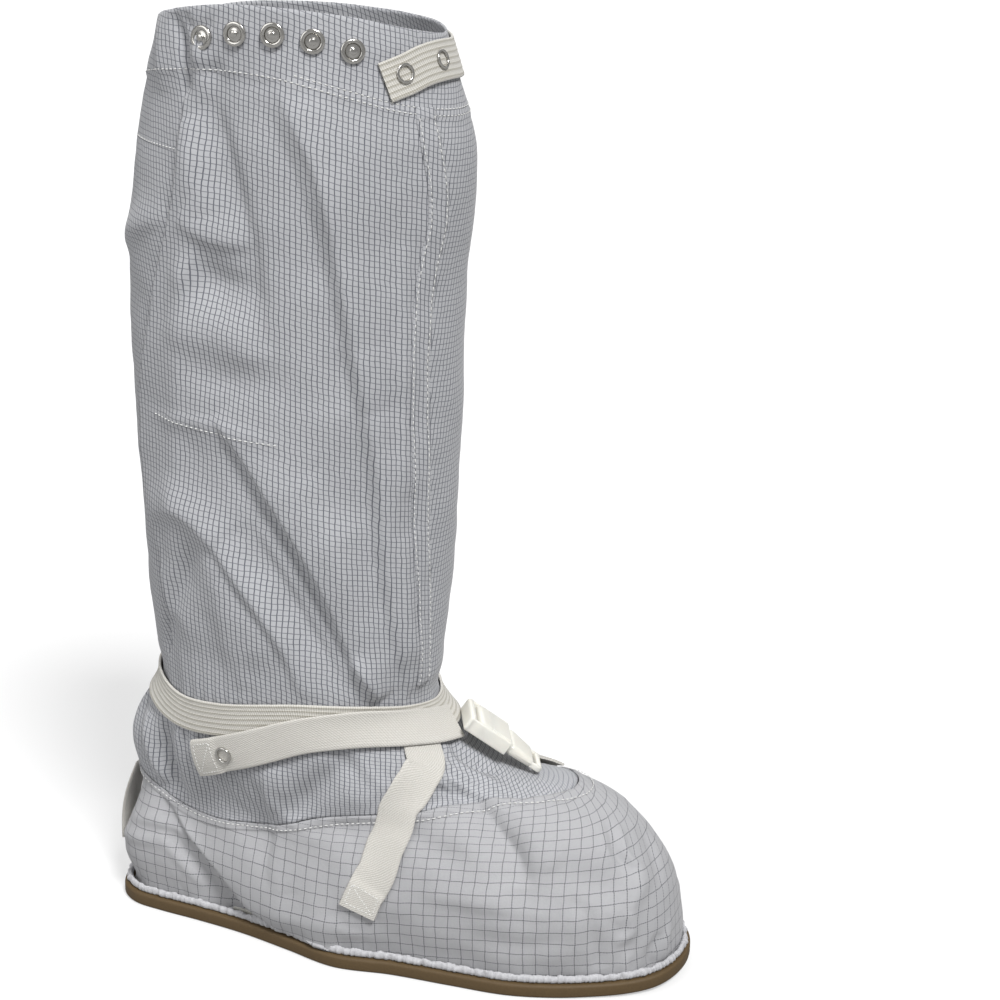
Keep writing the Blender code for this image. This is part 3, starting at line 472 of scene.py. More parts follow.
OUTER_CREASES = (
    Crease(route((0.138, 18.95), (0.164, 18.36), (0.172, 17.60)), -4.6, 3.0, 4.0),
    Crease(route((0.150, 18.98), (0.176, 18.70), (0.206, 18.72)), -2.0, 2.2, 3.0),
    Crease(route((0.170, 18.10), (0.190, 18.00), (0.220, 18.04)), -1.6, 3.0, 3.0),
    Crease(route((0.177, 18.85), (0.188, 18.30), (0.192, 17.60)), 2.2, 5.0, 4.0),
    Crease(route((0.105, 18.90), (0.120, 18.30), (0.125, 17.60)), 2.0, 7.0, 4.0),
    Crease(route((0.273, 17.90), (0.312, 16.52), (0.338, 15.12), (0.362, 13.60)), 4.4, 14.0, 3.4),
    Crease(route((0.255, 17.70), (0.292, 16.40), (0.320, 15.10), (0.346, 13.60)), -3.0, 4.0, 12.0),
    Crease(route((0.352, 14.30), (0.379, 12.77), (0.392, 11.76), (0.438, 9.50)), 4.0, 11.0, 3.2),
    Crease(route((0.336, 14.30), (0.362, 12.77), (0.374, 11.76), (0.421, 9.50)), -3.0, 3.6, 9.0),
    Crease(route((0.395, 15.60), (0.402, 14.20), (0.405, 12.60)), 2.4, 6.0, 3.4),
    Crease(route((0.405, 12.20), (0.418, 11.20), (0.450, 9.80)), 2.2, 6.0, 3.2),
    Crease(route((0.310, 12.90), (0.340, 11.80), (0.372, 10.60), (0.400, 9.60)), 2.2, 5.0, 9.0),
    Crease(route((0.200, 17.60), (0.237, 16.20), (0.258, 15.06), (0.265, 14.20)), -4.2, 5.0, 13.0),
    Crease(route((0.178, 17.30), (0.190, 16.50), (0.205, 15.90)), 2.8, 9.0, 9.0),
    Crease(route((0.180, 15.85), (0.212, 15.57), (0.255, 15.57)), 3.6, 14.0, 4.5),
    Crease(route((0.190, 15.10), (0.220, 14.96), (0.262, 14.90)), -3.4, 8.0, 14.0),
    Crease(route((0.030, 15.00), (0.090, 15.38), (0.160, 15.80)), 3.0, 9.0, 4.5),
    Crease(route((0.160, 14.36), (0.217, 14.30), (0.275, 14.30)), 2.4, 12.0, 11.0),
    Crease(route((0.180, 13.90), (0.230, 13.86), (0.290, 13.90)), -1.4, 8.0, 8.0),
    Crease(route((0.128, 13.28), (0.182, 13.34), (0.220, 13.34), (0.290, 13.22)), 1.2, 2.2, 5.0),
    Crease(
        route((0.218, 13.45), (0.268, 12.65), (0.306, 11.95), (0.343, 10.99), (0.377, 9.50)),
        7.2, 17.0, 2.1,
    ),
    Crease(route((0.244, 12.30), (0.282, 11.60), (0.318, 10.80), (0.352, 9.70)), -3.4, 4.0, 11.0),
    Crease(route((0.200, 12.20), (0.236, 11.69), (0.280, 10.87), (0.304, 9.50)), 4.2, 9.0, 3.0),
    Crease(route((0.110, 12.10), (0.165, 12.30), (0.190, 12.24), (0.216, 12.00)), 4.0, 13.0, 4.5),
    Crease(route((0.195, 12.00), (0.168, 11.50), (0.147, 10.99), (0.107, 9.90)), -4.4, 6.0, 6.5),
    Crease(route((0.215, 11.60), (0.222, 10.80), (0.232, 9.70)), 2.0, 7.0, 7.0),
    Crease(route((0.352, 10.60), (0.390, 9.50)), 3.4, 5.0, 2.0),
    Crease(route((0.085, 8.30), (0.105, 7.12), (0.110, 6.20)), 3.4, 5.0, 4.0),
    Crease(route((0.122, 8.50), (0.130, 7.24), (0.127, 6.00)), -4.4, 4.5, 5.0),
    Crease(route((0.050, 8.60), (0.062, 7.60), (0.070, 6.60)), -2.4, 5.0, 5.0),
    Crease(route((0.246, 8.13), (0.237, 7.24), (0.216, 6.05)), 3.4, 12.0, 2.6),
    Crease(route((0.190, 8.00), (0.180, 7.20), (0.168, 6.20)), -2.4, 9.0, 9.0),
    Crease(route((0.350, 8.36), (0.318, 8.13), (0.285, 7.60), (0.232, 6.20)), -3.0, 6.0, 7.0),
    Crease(route((0.355, 7.30), (0.300, 7.10), (0.255, 6.50)), 2.2, 9.0, 7.0),
    Crease(route((0.355, 7.16), (0.385, 7.28), (0.404, 7.00)), -5.0, 3.5, 3.5),
    Crease(route((0.450, 8.30), (0.463, 7.88), (0.480, 7.40)), -3.2, 5.0, 3.0),
    Crease(route((0.430, 7.90), (0.440, 7.50), (0.450, 7.10)), 1.8, 4.0, 4.0),
)
FOOT_CREASES = (
    Crease(
        route((0.096, 5.50), (0.127, 3.75), (0.155, 2.65), (0.174, 1.75), (0.203, 1.00), (0.236, 0.40)),
        6.8, 17.0, 2.0,
    ),
    Crease(route((0.098, 4.40), (0.118, 3.20), (0.142, 2.20), (0.165, 1.20), (0.195, 0.60)), -3.4, 3.4, 9.0),
    Crease(route((0.045, 3.55), (0.092, 3.85), (0.135, 3.56)), 1.6, 4.0, 3.0),
    Crease(route((0.098, 3.43), (0.117, 2.73), (0.142, 1.53)), 1.6, 3.0, 3.0),
    Crease(route((0.020, 2.60), (0.077, 2.95), (0.110, 2.99)), 1.4, 4.0, 3.0),
    Crease(route((0.398, 7.30), (0.396, 6.60), (0.372, 5.60), (0.356, 3.80)), -4.8, 3.4, 13.0),
    Crease(route((0.418, 7.10), (0.412, 6.30), (0.390, 5.40), (0.372, 4.20)), 3.2, 8.0, 6.0),
    Crease(route((0.388, 4.50), (0.403, 3.88), (0.440, 3.20)), -3.4, 10.0, 10.0),
    Crease(route((0.470, 5.10), (0.455, 4.72), (0.447, 4.32), (0.452, 3.80)), -2.2, 2.2, 2.6),
    Crease(route((0.480, 5.00), (0.464, 4.62), (0.457, 4.25), (0.464, 3.80)), 1.6, 1.8, 1.8),
    Crease(route((0.447, 4.90), (0.438, 4.50), (0.436, 4.20)), 1.2, 2.0, 2.0),
    Crease(route((0.470, 3.80), (0.440, 3.30), (0.415, 2.60)), 2.8, 6.0, 9.0),
    Crease(route((0.380, 3.40), (0.393, 2.99), (0.395, 2.48), (0.398, 1.20)), -2.2, 4.0, 4.0),
    Crease(route((0.432, 2.90), (0.430, 2.29), (0.412, 2.00)), 2.0, 3.0, 3.0),
    Crease(route((0.462, 2.00), (0.448, 1.33), (0.453, 0.40)), -2.6, 3.0, 3.0),
    Crease(route((0.480, 2.20), (0.468, 1.40), (0.470, 0.40)), 1.8, 3.0, 3.0),
    Crease(route((0.425, 1.70), (0.420, 1.10), (0.430, 0.40)), 1.6, 3.0, 3.0),
    Crease(route((0.505, 4.60), (0.490, 4.00), (0.474, 3.20)), -1.8, 4.0, 6.0),
    Crease(route((0.214, 6.16), (0.199, 3.94), (0.204, 2.40)), 2.4, 11.0, 2.8),
    Crease(route((0.275, 5.60), (0.268, 3.62), (0.272, 2.30)), 1.8, 9.0, 9.0),
    Crease(route((0.230, 5.00), (0.233, 3.40), (0.236, 2.00)), -1.8, 8.0, 8.0),
    Crease(route((0.180, 1.50), (0.230, 1.70), (0.270, 1.50)), 1.2, 5.0, 6.0),
    Crease(route((0.290, 3.30), (0.330, 3.20), (0.370, 2.90)), 1.8, 8.0, 4.0),
    Crease(route((0.310, 2.10), (0.345, 2.00), (0.380, 2.20)), -1.6, 6.0, 6.0),
    Crease(route((0.300, 6.10), (0.310, 5.00), (0.330, 4.00)), -1.6, 7.0, 7.0),
)
INNER_CREASES = (
    Crease(route((0.930, 17.40), (0.900, 15.40), (0.880, 13.20)), -4.2, 8.0, 13.0),
    Crease(route((0.760, 17.70), (0.730, 15.80), (0.700, 13.60), (0.680, 11.60)), -4.6, 13.0, 8.0),
    Crease(route((0.620, 16.60), (0.610, 14.60), (0.590, 12.20)), -3.4, 11.0, 11.0),
    Crease(route((0.660, 17.20), (0.655, 15.60), (0.645, 13.80)), 2.6, 10.0, 10.0),
    Crease(route((0.860, 13.20), (0.800, 12.00), (0.740, 10.80), (0.700, 9.60)), 5.6, 2.8, 15.0),
    Crease(route((0.830, 15.50), (0.780, 15.10), (0.720, 15.30)), 3.0, 6.0, 12.0),
    Crease(route((0.960, 12.60), (0.930, 11.20), (0.900, 9.70)), -3.4, 6.0, 6.0),
    Crease(route((0.820, 11.40), (0.790, 10.40), (0.780, 9.60)), 2.2, 7.0, 7.0),
    Crease(route((0.900, 8.40), (0.880, 7.20), (0.885, 6.10)), 3.4, 5.0, 6.0),
    Crease(route((0.780, 8.40), (0.760, 7.30), (0.770, 6.20)), -3.4, 6.0, 6.0),
    Crease(route((0.660, 8.30), (0.640, 7.30), (0.600, 6.40)), -3.0, 5.0, 6.0),
    Crease(route((0.880, 5.20), (0.850, 3.20), (0.800, 1.20)), 4.6, 3.0, 14.0),
    Crease(route((0.600, 6.60), (0.620, 5.20), (0.640, 3.60)), -3.4, 8.0, 6.0),
    Crease(route((0.560, 4.80), (0.545, 3.60), (0.550, 2.20)), -2.2, 5.0, 5.0),
    Crease(route((0.720, 4.80), (0.700, 3.00), (0.705, 1.40)), 2.0, 7.0, 7.0),
    Crease(route((0.530, 2.60), (0.560, 2.00), (0.600, 1.80)), 1.6, 4.0, 5.0),
)


class Band(NamedTuple):
    """A strap that presses the cloth flat: its middle line and half the width that it presses."""

    path: tuple[Spot, ...]
    half_width: float


ANKLE_PATH = route(
    (0.000, 8.98), (0.075, 8.88), (0.145, 8.74), (0.203, 8.84), (0.260, 9.02),
    (0.300, 9.09), (0.357, 9.04), (0.412, 8.92), (0.460, 8.84), (0.500, 8.80),
    (0.560, 8.84), (0.640, 9.00), (0.740, 9.05), (0.850, 8.95), (0.930, 8.92),
)
SNAP_PATH = route(
    (0.492, 8.58), (0.455, 8.68), (0.412, 8.83), (0.357, 8.96),
    (0.302, 8.84), (0.253, 8.54), (0.207, 8.19), (0.176, 7.90),
)
OUTER_PATH = route(
    (0.424, 8.52), (0.406, 8.14), (0.374, 7.66), (0.324, 6.61), (0.279, 5.02), (0.261, 3.62), (0.2515, 2.45),
)
INNER_PATH = route((0.590, 6.22), (0.618, 5.95), (0.655, 5.20), (0.690, 3.90), (0.705, 2.45))
TAB_PATH = route(
    (0.381, 18.00), (0.410, 18.17), (0.443, 18.36), (0.487, 18.46), (0.547, 18.46), (0.600, 18.46),
)
REAR_EDGE = route(
    (0.090, 9.34), (0.115, 9.98), (0.133, 11.06), (0.125, 11.76), (0.105, 12.40), (0.110, 13.34),
    (0.130, 14.11), (0.145, 14.81), (0.165, 15.76), (0.170, 16.33), (0.168, 17.35), (0.170, 17.79),
)
FRONT_EDGE = route(
    (0.470, 9.60), (0.465, 10.61), (0.458, 11.44), (0.448, 12.07), (0.438, 13.41), (0.435, 14.11),
    (0.443, 15.12), (0.451, 15.82), (0.450, 16.20), (0.445, 16.60), (0.439, 17.00), (0.438, 17.41),
    (0.443, 17.86),
)


FINE_STEPS = 600


@dataclass(frozen=True)
class Route:
    """A line on the cloth, read at even steps of its length."""

    turns: Numbers
    levels: Numbers
    run: Numbers
    turn_rate: Numbers
    level_rate: Numbers

    @classmethod
    def along(cls, path: Sequence[Spot], count: int, closed: bool = False) -> "Route":
        """Read a path at even steps.

        Args:
            path: places on the cloth.
            count: number of steps to read.
            closed: whether the path goes once round the boot.

        Returns:
            The route, with what turn and level change for each metre sideways.
        """
        knots = np.array(path)
        if closed:
            knots = np.vstack([knots[-3:] - [1.0, 0.0], knots, knots[:3] + [1.0, 0.0]])
        number = np.arange(len(knots))
        first, last = (3.0, len(knots) - 3.0) if closed else (0.0, len(knots) - 1.0)
        fine = np.linspace(first, last, FINE_STEPS)
        turns = curve_through(number, knots[:, 0], fine)
        levels = curve_through(number, knots[:, 1], fine)
        middle = LAST.skin(turns, levels)
        run = way_along(middle)
        even = np.linspace(0.0, run[-1], count)
        turns = np.interp(even, run, turns)
        levels = np.interp(even, run, levels)
        _, by_turn, by_level, normal = LAST.slopes(turns, levels)
        ahead = np.gradient(np.stack([turns, levels], axis=-1), even, axis=0)
        if closed:
            ahead[0] = ahead[-1] = (ahead[0] + ahead[-1]) / 2.0
        tangent = by_turn * ahead[:, :1] + by_level * ahead[:, 1:]
        tangent /= np.linalg.norm(tangent, axis=-1, keepdims=True)
        side = np.cross(normal, tangent)
        tt = np.sum(by_turn * by_turn, axis=-1)
        tl = np.sum(by_turn * by_level, axis=-1)
        ll = np.sum(by_level * by_level, axis=-1)
        ts = np.sum(by_turn * side, axis=-1)
        ls = np.sum(by_level * side, axis=-1)
        area = tt * ll - tl * tl
        return cls(turns, levels, even, (ll * ts - tl * ls) / area, (tt * ls - tl * ts) / area)

    @property
    def length(self) -> float:
        """Length of the route in metres."""
        return float(self.run[-1])

    def beside(self, run: Numbers, offset: Numbers) -> tuple[Numbers, Numbers]:
        """Places beside the route.

        Args:
            run: way along the route in metres.
            offset: distance to the route's left in metres.

        Returns:
            The turns and the levels of the places.
        """
        turn = np.interp(run, self.run, self.turns) + offset * np.interp(run, self.run, self.turn_rate)
        level = np.interp(run, self.run, self.levels) + offset * np.interp(run, self.run, self.level_rate)
        return turn, level


@dataclass(frozen=True)
class Distance:
    """Distance of points of the cloth from a line: how far, on which hand, and how far along."""

    away: Numbers
    hand: Numbers
    share: Numbers

    @classmethod
    def to(cls, line: Numbers, points: Numbers, normals: Numbers, reach: float) -> "Distance":
        """Measure points against a line, and call those beyond the reach endlessly far."""
        away = np.full(len(points), np.inf)
        hand = np.zeros(len(points))
        share = np.zeros(len(points))
        near = np.all(points > line.min(axis=0) - reach, axis=1)
        near &= np.all(points < line.max(axis=0) + reach, axis=1)
        chosen = np.flatnonzero(near)
        for number, (start, end) in enumerate(zip(line, line[1:])):
            step = end - start
            offset = points[chosen] - start
            along = np.clip(offset @ step / (step @ step), 0.0, 1.0)
            offset = offset - along[:, None] * step
            far = np.linalg.norm(offset, axis=1)
            closer = far < away[chosen]
            index = chosen[closer]
            away[index] = far[closer]
            left = np.cross(normals[index], step)
            hand[index] = np.sum(left * offset[closer], axis=1)
            share[index] = (number + along[closer]) / (len(line) - 1)
        return cls(away, hand, share)


@dataclass(frozen=True)
class Relief:
    """All that stands out of the cloth's plain form: creases, gathers, seams and crumple."""

    crumple: tuple[tuple[float, float], ...] = ((34.0, 1.6), (15.0, 0.5), (6.0, 0.12))
    hem_step: float = 0.0007
    pleat_step: float = 0.0026
    seam_fold: float = 0.0007
    seam_fold_width: float = 0.0045
    gather_below: float = 0.0018
    gather_above: float = 0.0009
    pressed_lift: float = 0.0002

    def lift(self, turn: Numbers, level: Numbers, points: Numbers, normals: Numbers) -> Numbers:
        """Lift of the cloth over its plain form.

        Args:
            turn: turns of the points.
            level: levels of the points.
            points: the points on the bare face.
            normals: the outward normals there.

        Returns:
            The lift of each point in metres.
        """
        lift = self.creases(points, normals) + self.crumples(points) + self.gathers(turn, level)
        lift = self.pressed(lift, points, normals)
        lift = lift + self.pleat(points, normals)
        return lift + self.hem_step * smooth_step(level - LAST.hem_at(turn), -0.02, 0.02)

    def creases(self, points: Numbers, normals: Numbers) -> Numbers:
        """Lift of the listed creases."""
        lift = np.zeros(len(points))
        for crease in OUTER_CREASES + FOOT_CREASES + INNER_CREASES:
            route_here = Route.along(crease.route, 14)
            line = LAST.bare(route_here.turns, route_here.levels)
            reach = 2.6 * MM * max(crease.left, crease.right)
            seen = Distance.to(line, points, normals, reach)
            side = np.where(seen.hand > 0.0, crease.left, crease.right) * MM
            taper = np.sin(math.pi * np.clip(seen.share, 0.0, 1.0)) ** 0.6
            lift += crease.depth * MM * taper * np.exp(-(np.minimum(seen.away, 1.0) / side) ** 2)
        return lift

    def crumples(self, points: Numbers) -> Numbers:
        """Lift of the cloth's small unevenness, at several sizes in mm."""
        lift = np.zeros(len(points))
        for size, depth in self.crumple:
            scaled = points / (size * MM)
            lift += depth * MM * np.array([noise.noise(Vector(point)) for point in scaled])
        return lift

    def gathers(self, turn: Numbers, level: Numbers) -> Numbers:
        """Lift of the gathers beside the ankle's elastic, the rim and the sole's binding."""
        ankle = curve_through([spot.turn for spot in ANKLE_PATH], [spot.level for spot in ANKLE_PATH], turn)
        swing = 0.5 + 0.5 * np.sin(FULL_TURN * (7.0 * turn + 0.3 * np.sin(FULL_TURN * 3.0 * turn)))
        wave = np.sin(FULL_TURN * (41.0 * turn + 0.8 * np.sin(FULL_TURN * 5.0 * turn)))
        below = self.gather_below * np.exp(-np.clip(ankle - level, 0.0, 9.0) / 1.1) * (level < ankle)
        above = self.gather_above * np.exp(-np.clip(level - ankle, 0.0, 9.0) / 0.7) * (level >= ankle)
        at_sole = 0.0006 * np.exp(-np.clip(level, 0.0, 9.0) / 0.9)
        fine = np.sin(FULL_TURN * (120.0 * turn + 1.5 * np.sin(FULL_TURN * 11.0 * turn)))
        return (below + above) * wave * swing + at_sole * fine

    def pressed(self, lift: Numbers, points: Numbers, normals: Numbers) -> Numbers:
        """Hold the cloth down under the straps."""
        for band in BANDS:
            route_here = Route.along(band.path, 60, closed=band.path is ANKLE_PATH)
            line = LAST.bare(route_here.turns, route_here.levels)
            seen = Distance.to(line, points, normals, 2.5 * band.half_width)
            free = smooth_step(np.minimum(seen.away, 1.0), 0.95 * band.half_width, 1.5 * band.half_width)
            lift = free * lift + (1.0 - free) * np.minimum(lift, self.pressed_lift)
        return lift

    def pleat(self, points: Numbers, normals: Numbers) -> Numbers:
        """Step where the outer panel folds over the rear one."""
        route_here = Route.along(REAR_EDGE, 60)
        line = LAST.bare(route_here.turns, route_here.levels)
        seen = Distance.to(line, points, normals, 0.03)
        away = np.minimum(seen.away, 1.0)
        outer = seen.hand < 0.0
        fade = np.sin(math.pi * np.clip(seen.share, 0.0, 1.0)) ** 0.4
        on_top = self.pleat_step * np.exp(-away / 0.012)
        beneath = -0.5 * self.pleat_step * np.exp(-away / 0.004)
        edge = smooth_step(np.where(outer, away, -away), -0.0006, 0.0006)
        return fade * (edge * on_top + (1.0 - edge) * beneath)


RELIEF = Relief()
BANDS = (
    Band(ANKLE_PATH, 0.0093),
    Band(SNAP_PATH, 0.0098),
    Band(OUTER_PATH, 0.0098),
    Band(INNER_PATH, 0.0098),
    Band(TAB_PATH, 0.0093),
)


def cloth_face(turn: Numbers, level: Numbers, lift: Numbers = 0.0) -> Numbers:
    """Points of the dressed cloth, with all its relief.

    Args:
        turn: turns round the boot.
        level: levels up the boot.
        lift: a further lift in metres.

    Returns:
        The points in the frame.
    """
    turn, level = np.broadcast_arrays(np.asarray(turn, dtype=float), np.asarray(level, dtype=float))
    shape = turn.shape
    turn = turn.ravel()
    level = level.ravel()
    points, _, _, normals = LAST.slopes(turn, level)
    total = LAST.fold_push(points) + RELIEF.lift(turn, level, points, normals)
    total = total + np.broadcast_to(lift, shape).ravel()
    return (points + normals * total[:, None]).reshape(shape + (3,))


def seat_matrix(spot: Spot, lift: float) -> Matrix:
    """Placing of a fitting: its Z is the cloth's normal and its X runs round the boot."""
    step = 2e-3
    centre = LAST.skin(spot.turn, spot.level)
    ahead = Vector(LAST.skin(spot.turn + step, spot.level) - centre).normalized()
    upward = Vector(LAST.skin(spot.turn, spot.level + step) - centre)
    normal = ahead.cross(upward).normalized()
    side = normal.cross(ahead)
    turned = Matrix((ahead, side, normal)).transposed().to_4x4()
    return Matrix.Translation(Vector(centre) + normal * lift) @ turned


def linear(hex_colour: str) -> tuple[float, float, float, float]:
    """Linear colour of an sRGB hex value such as "c8c8cc"."""
    parts = (int(hex_colour[place:place + 2], 16) / 255.0 for place in (0, 2, 4))
    rgb = (part / 12.92 if part <= 0.04045 else ((part + 0.055) / 1.055) ** 2.4 for part in parts)
    return (*rgb, 1.0)


def add_node(
    tree: Tree, kind: str, settings: dict | None = None, **inputs: object,
) -> bpy.types.Node:
    """Add a node with its settings and links.

    Args:
        tree: the material's node tree.
        kind: the node's type.
        settings: values of the node's own properties.
        inputs: for each input, named in lower case with _ for a space or numbered as in_0,
            a value or the socket that feeds it.

    Returns:
        The new node.
    """
    node = tree.nodes.new(kind)
    for name, value in (settings or {}).items():
        setattr(node, name, value)
    by_name = {socket.name.lower().replace(" ", "_"): socket for socket in reversed(node.inputs)}
    for name, source in inputs.items():
        socket = node.inputs[int(name[3:])] if name.startswith("in_") else by_name[name]
        if isinstance(source, Socket):
            tree.links.new(source, socket)
        else:
            socket.default_value = source
    return node


@dataclass(frozen=True)
class Finish:
    """What every finish has: its name, the record's slot and the shader's plain values."""

    name: str
    slot: str
    roughness: float = 0.8
    metallic: float = 0.0
    sheen: float = 0.0
    ior: float = 1.5

    def start(self) -> tuple[bpy.types.Material, Tree, bpy.types.Node]:
        """New material with its Principled shader set to the finish's plain values."""
        material = bpy.data.materials.new(self.name)
        material.use_nodes = True
        tree = material.node_tree
        shader = tree.nodes["Principled BSDF"]
        shader.inputs["Roughness"].default_value = self.roughness
        shader.inputs["Metallic"].default_value = self.metallic
        shader.inputs["Sheen Weight"].default_value = self.sheen
        if not self.metallic:
            shader.inputs["IOR"].default_value = self.ior
        return material, tree, shader

    def build(self) -> bpy.types.Material:
        """Material of this finish."""
        raise NotImplementedError


def line_mask(tree: Tree, place: Socket, pitch: float, width: float) -> Socket:
    """Mask of evenly spaced lines with soft edges.

    Args:
        tree: the material's node tree.
        place: the pattern coordinate that the lines cross.
        pitch: distance from line to line in mm.
        width: width of a line in mm.

    Returns:
        The mask, 1 on a line.
    """
    away = add_node(tree, "ShaderNodeMath", {"operation": "PINGPONG"}, in_0=place, in_1=pitch / 2.0)
    mask = add_node(
        tree, "ShaderNodeMapRange", {"interpolation_type": "SMOOTHSTEP"},
        value=away.outputs[0], from_min=0.35 * width, from_max=0.65 * width, to_min=1.0, to_max=0.0,
    )
    return mask.outputs[0]


@dataclass(frozen=True)
class CheckCloth(Finish):
    """Woven polyester with dark conductive threads, which give the white cloth its check."""

    ground: str = "b2b3b6"
    shade: str = "a7a8ac"
    thread: str = "5f6168"
    pitch: float = 2.55
    upright_width: float = 0.50
    level_width: float = 0.42
    level_strength: float = 0.72
    dash: float = 0.0
    gap_share: float = 0.45
    gap_depth: float = 0.7
    sway_scale: float = 0.12
    sway_mm: float = 1.1
    patch_scale: float = 0.45
    grain_scale: float = 0.9
    thread_rise: float = 0.25
    bump: float = 0.25
    bump_mm: float = 0.4

    def build(self) -> bpy.types.Material:
        """Material of the cloth, whose pattern follows its weave's own coordinates."""
        material, tree, shader = self.start()
        weave = add_node(tree, "ShaderNodeUVMap", {"uv_map": "weave"})
        ripple = add_node(
            tree, "ShaderNodeTexNoise", {"noise_dimensions": "2D"},
            vector=weave.outputs[0], scale=self.sway_scale, detail=2.0,
        )
        sway = add_node(
            tree, "ShaderNodeVectorMath", {"operation": "SUBTRACT"},
            in_0=ripple.outputs["Color"], in_1=(0.5, 0.5, 0.5),
        )
        swayed = add_node(
            tree, "ShaderNodeVectorMath", {"operation": "MULTIPLY_ADD"},
            in_0=sway.outputs[0], in_1=(self.sway_mm, self.sway_mm, 0.0), in_2=weave.outputs[0],
        )
        split = add_node(tree, "ShaderNodeSeparateXYZ", vector=swayed.outputs[0])
        upright = line_mask(tree, split.outputs["X"], self.pitch, self.upright_width)
        across = line_mask(tree, split.outputs["Y"], self.pitch, self.level_width)
        if self.dash:
            upright = self.dashed(tree, upright, split.outputs["Y"])
            across = self.dashed(tree, across, split.outputs["X"])
        weak = add_node(
            tree, "ShaderNodeMath", {"operation": "MULTIPLY"}, in_0=across, in_1=self.level_strength,
        )
        lines = add_node(
            tree, "ShaderNodeMath", {"operation": "MAXIMUM"}, in_0=upright, in_1=weak.outputs[0],
        )
        patch = add_node(
            tree, "ShaderNodeTexNoise", {"noise_dimensions": "2D"},
            vector=weave.outputs[0], scale=self.patch_scale, detail=6.0, roughness=0.75,
        )
        ground = add_node(
            tree, "ShaderNodeMix", {"data_type": "RGBA"},
            in_0=patch.outputs["Fac"], in_6=linear(self.shade), in_7=linear(self.ground),
        )
        colour = add_node(
            tree, "ShaderNodeMix", {"data_type": "RGBA"},
            in_0=lines.outputs[0], in_6=ground.outputs[2], in_7=linear(self.thread),
        )
        tree.links.new(colour.outputs[2], shader.inputs["Base Color"])
        grain = add_node(
            tree, "ShaderNodeTexNoise", {"noise_dimensions": "2D"},
            vector=weave.outputs[0], scale=self.grain_scale, detail=4.0, roughness=0.6,
        )
        height = add_node(
            tree, "ShaderNodeMath", {"operation": "MULTIPLY_ADD"},
            in_0=lines.outputs[0], in_1=self.thread_rise, in_2=grain.outputs["Fac"],
        )
        bump = add_node(
            tree, "ShaderNodeBump", None,
            strength=self.bump, distance=self.bump_mm * MM, height=height.outputs[0],
        )
        tree.links.new(bump.outputs[0], shader.inputs["Normal"])
        return material

    def dashed(self, tree: Tree, mask: Socket, place: Socket) -> Socket:
        """Break a line's mask into the short floats of its thread."""
        gaps = line_mask(tree, place, self.dash, self.gap_share * self.dash)
        thin = add_node(
            tree, "ShaderNodeMath", {"operation": "MULTIPLY_ADD"},
            in_0=gaps, in_1=-self.gap_depth, in_2=1.0,
        )
        broken = add_node(
            tree, "ShaderNodeMath", {"operation": "MULTIPLY"}, in_0=mask, in_1=thin.outputs[0],
        )
        return broken.outputs[0]


@dataclass(frozen=True)
class Webbing(Finish):
    """Woven polyester webbing: a twill whose small slanting ribs catch the light, with painted shade in the
    grooves between them.
    """

    colour: str = "d8d6d1"
    # Colour of the grooves and of the elastic's valleys: painted shade.
    groove_shade: str = "bdbab3"
    line_pitch: float = 0.0
    pitch: float = 1.5
    slant: float = 1.0
    bump: float = 0.5

    def build(self) -> bpy.types.Material:
        """Material of the webbing."""
        material, tree, shader = self.start()
        weave = add_node(tree, "ShaderNodeUVMap", {"uv_map": "weave"})
        split = add_node(tree, "ShaderNodeSeparateXYZ", vector=weave.outputs[0])
        slanted = add_node(
            tree, "ShaderNodeMath", {"operation": "MULTIPLY_ADD"},
            in_0=split.outputs["X"], in_1=self.slant, in_2=split.outputs["Y"],
        )
        ribs = line_mask(tree, slanted.outputs[0], self.pitch, 0.5 * self.pitch)
        cross = line_mask(tree, split.outputs["X"], 0.8 * self.pitch, 0.35 * self.pitch)
        both = add_node(
            tree, "ShaderNodeMath", {"operation": "MULTIPLY_ADD"}, in_0=cross, in_1=0.4, in_2=ribs,
        )
        fuzz = add_node(
            tree, "ShaderNodeTexNoise", {"noise_dimensions": "2D"},
            vector=weave.outputs[0], scale=1.4, detail=4.0, roughness=0.7,
        )
        mixed = add_node(
            tree, "ShaderNodeMath", {"operation": "MULTIPLY_ADD", "use_clamp": True},
            in_0=both.outputs[0], in_1=0.45, in_2=fuzz.outputs["Fac"],
        )
        shade = mixed.outputs[0]
        if self.line_pitch:
            valleys = line_mask(tree, split.outputs["X"], self.line_pitch, 0.36 * self.line_pitch)
            shade = add_node(
                tree, "ShaderNodeMath", {"operation": "MULTIPLY_ADD"}, in_0=valleys, in_1=0.7, in_2=shade,
            ).outputs[0]
        # Grooves and valleys are mixed towards the darker groove colour: painted shade, under a random fuzz
        # of tone.
        colour = add_node(
            tree, "ShaderNodeMix", {"data_type": "RGBA", "clamp_factor": False},
            in_0=shade, in_6=linear(self.colour), in_7=linear(self.groove_shade),
        )
        tree.links.new(colour.outputs[2], shader.inputs["Base Color"])
        bump = add_node(
            tree, "ShaderNodeBump", {"invert": True},
            strength=self.bump, distance=0.35 * MM, height=both.outputs[0],
        )
        tree.links.new(bump.outputs[0], shader.inputs["Normal"])
        return material


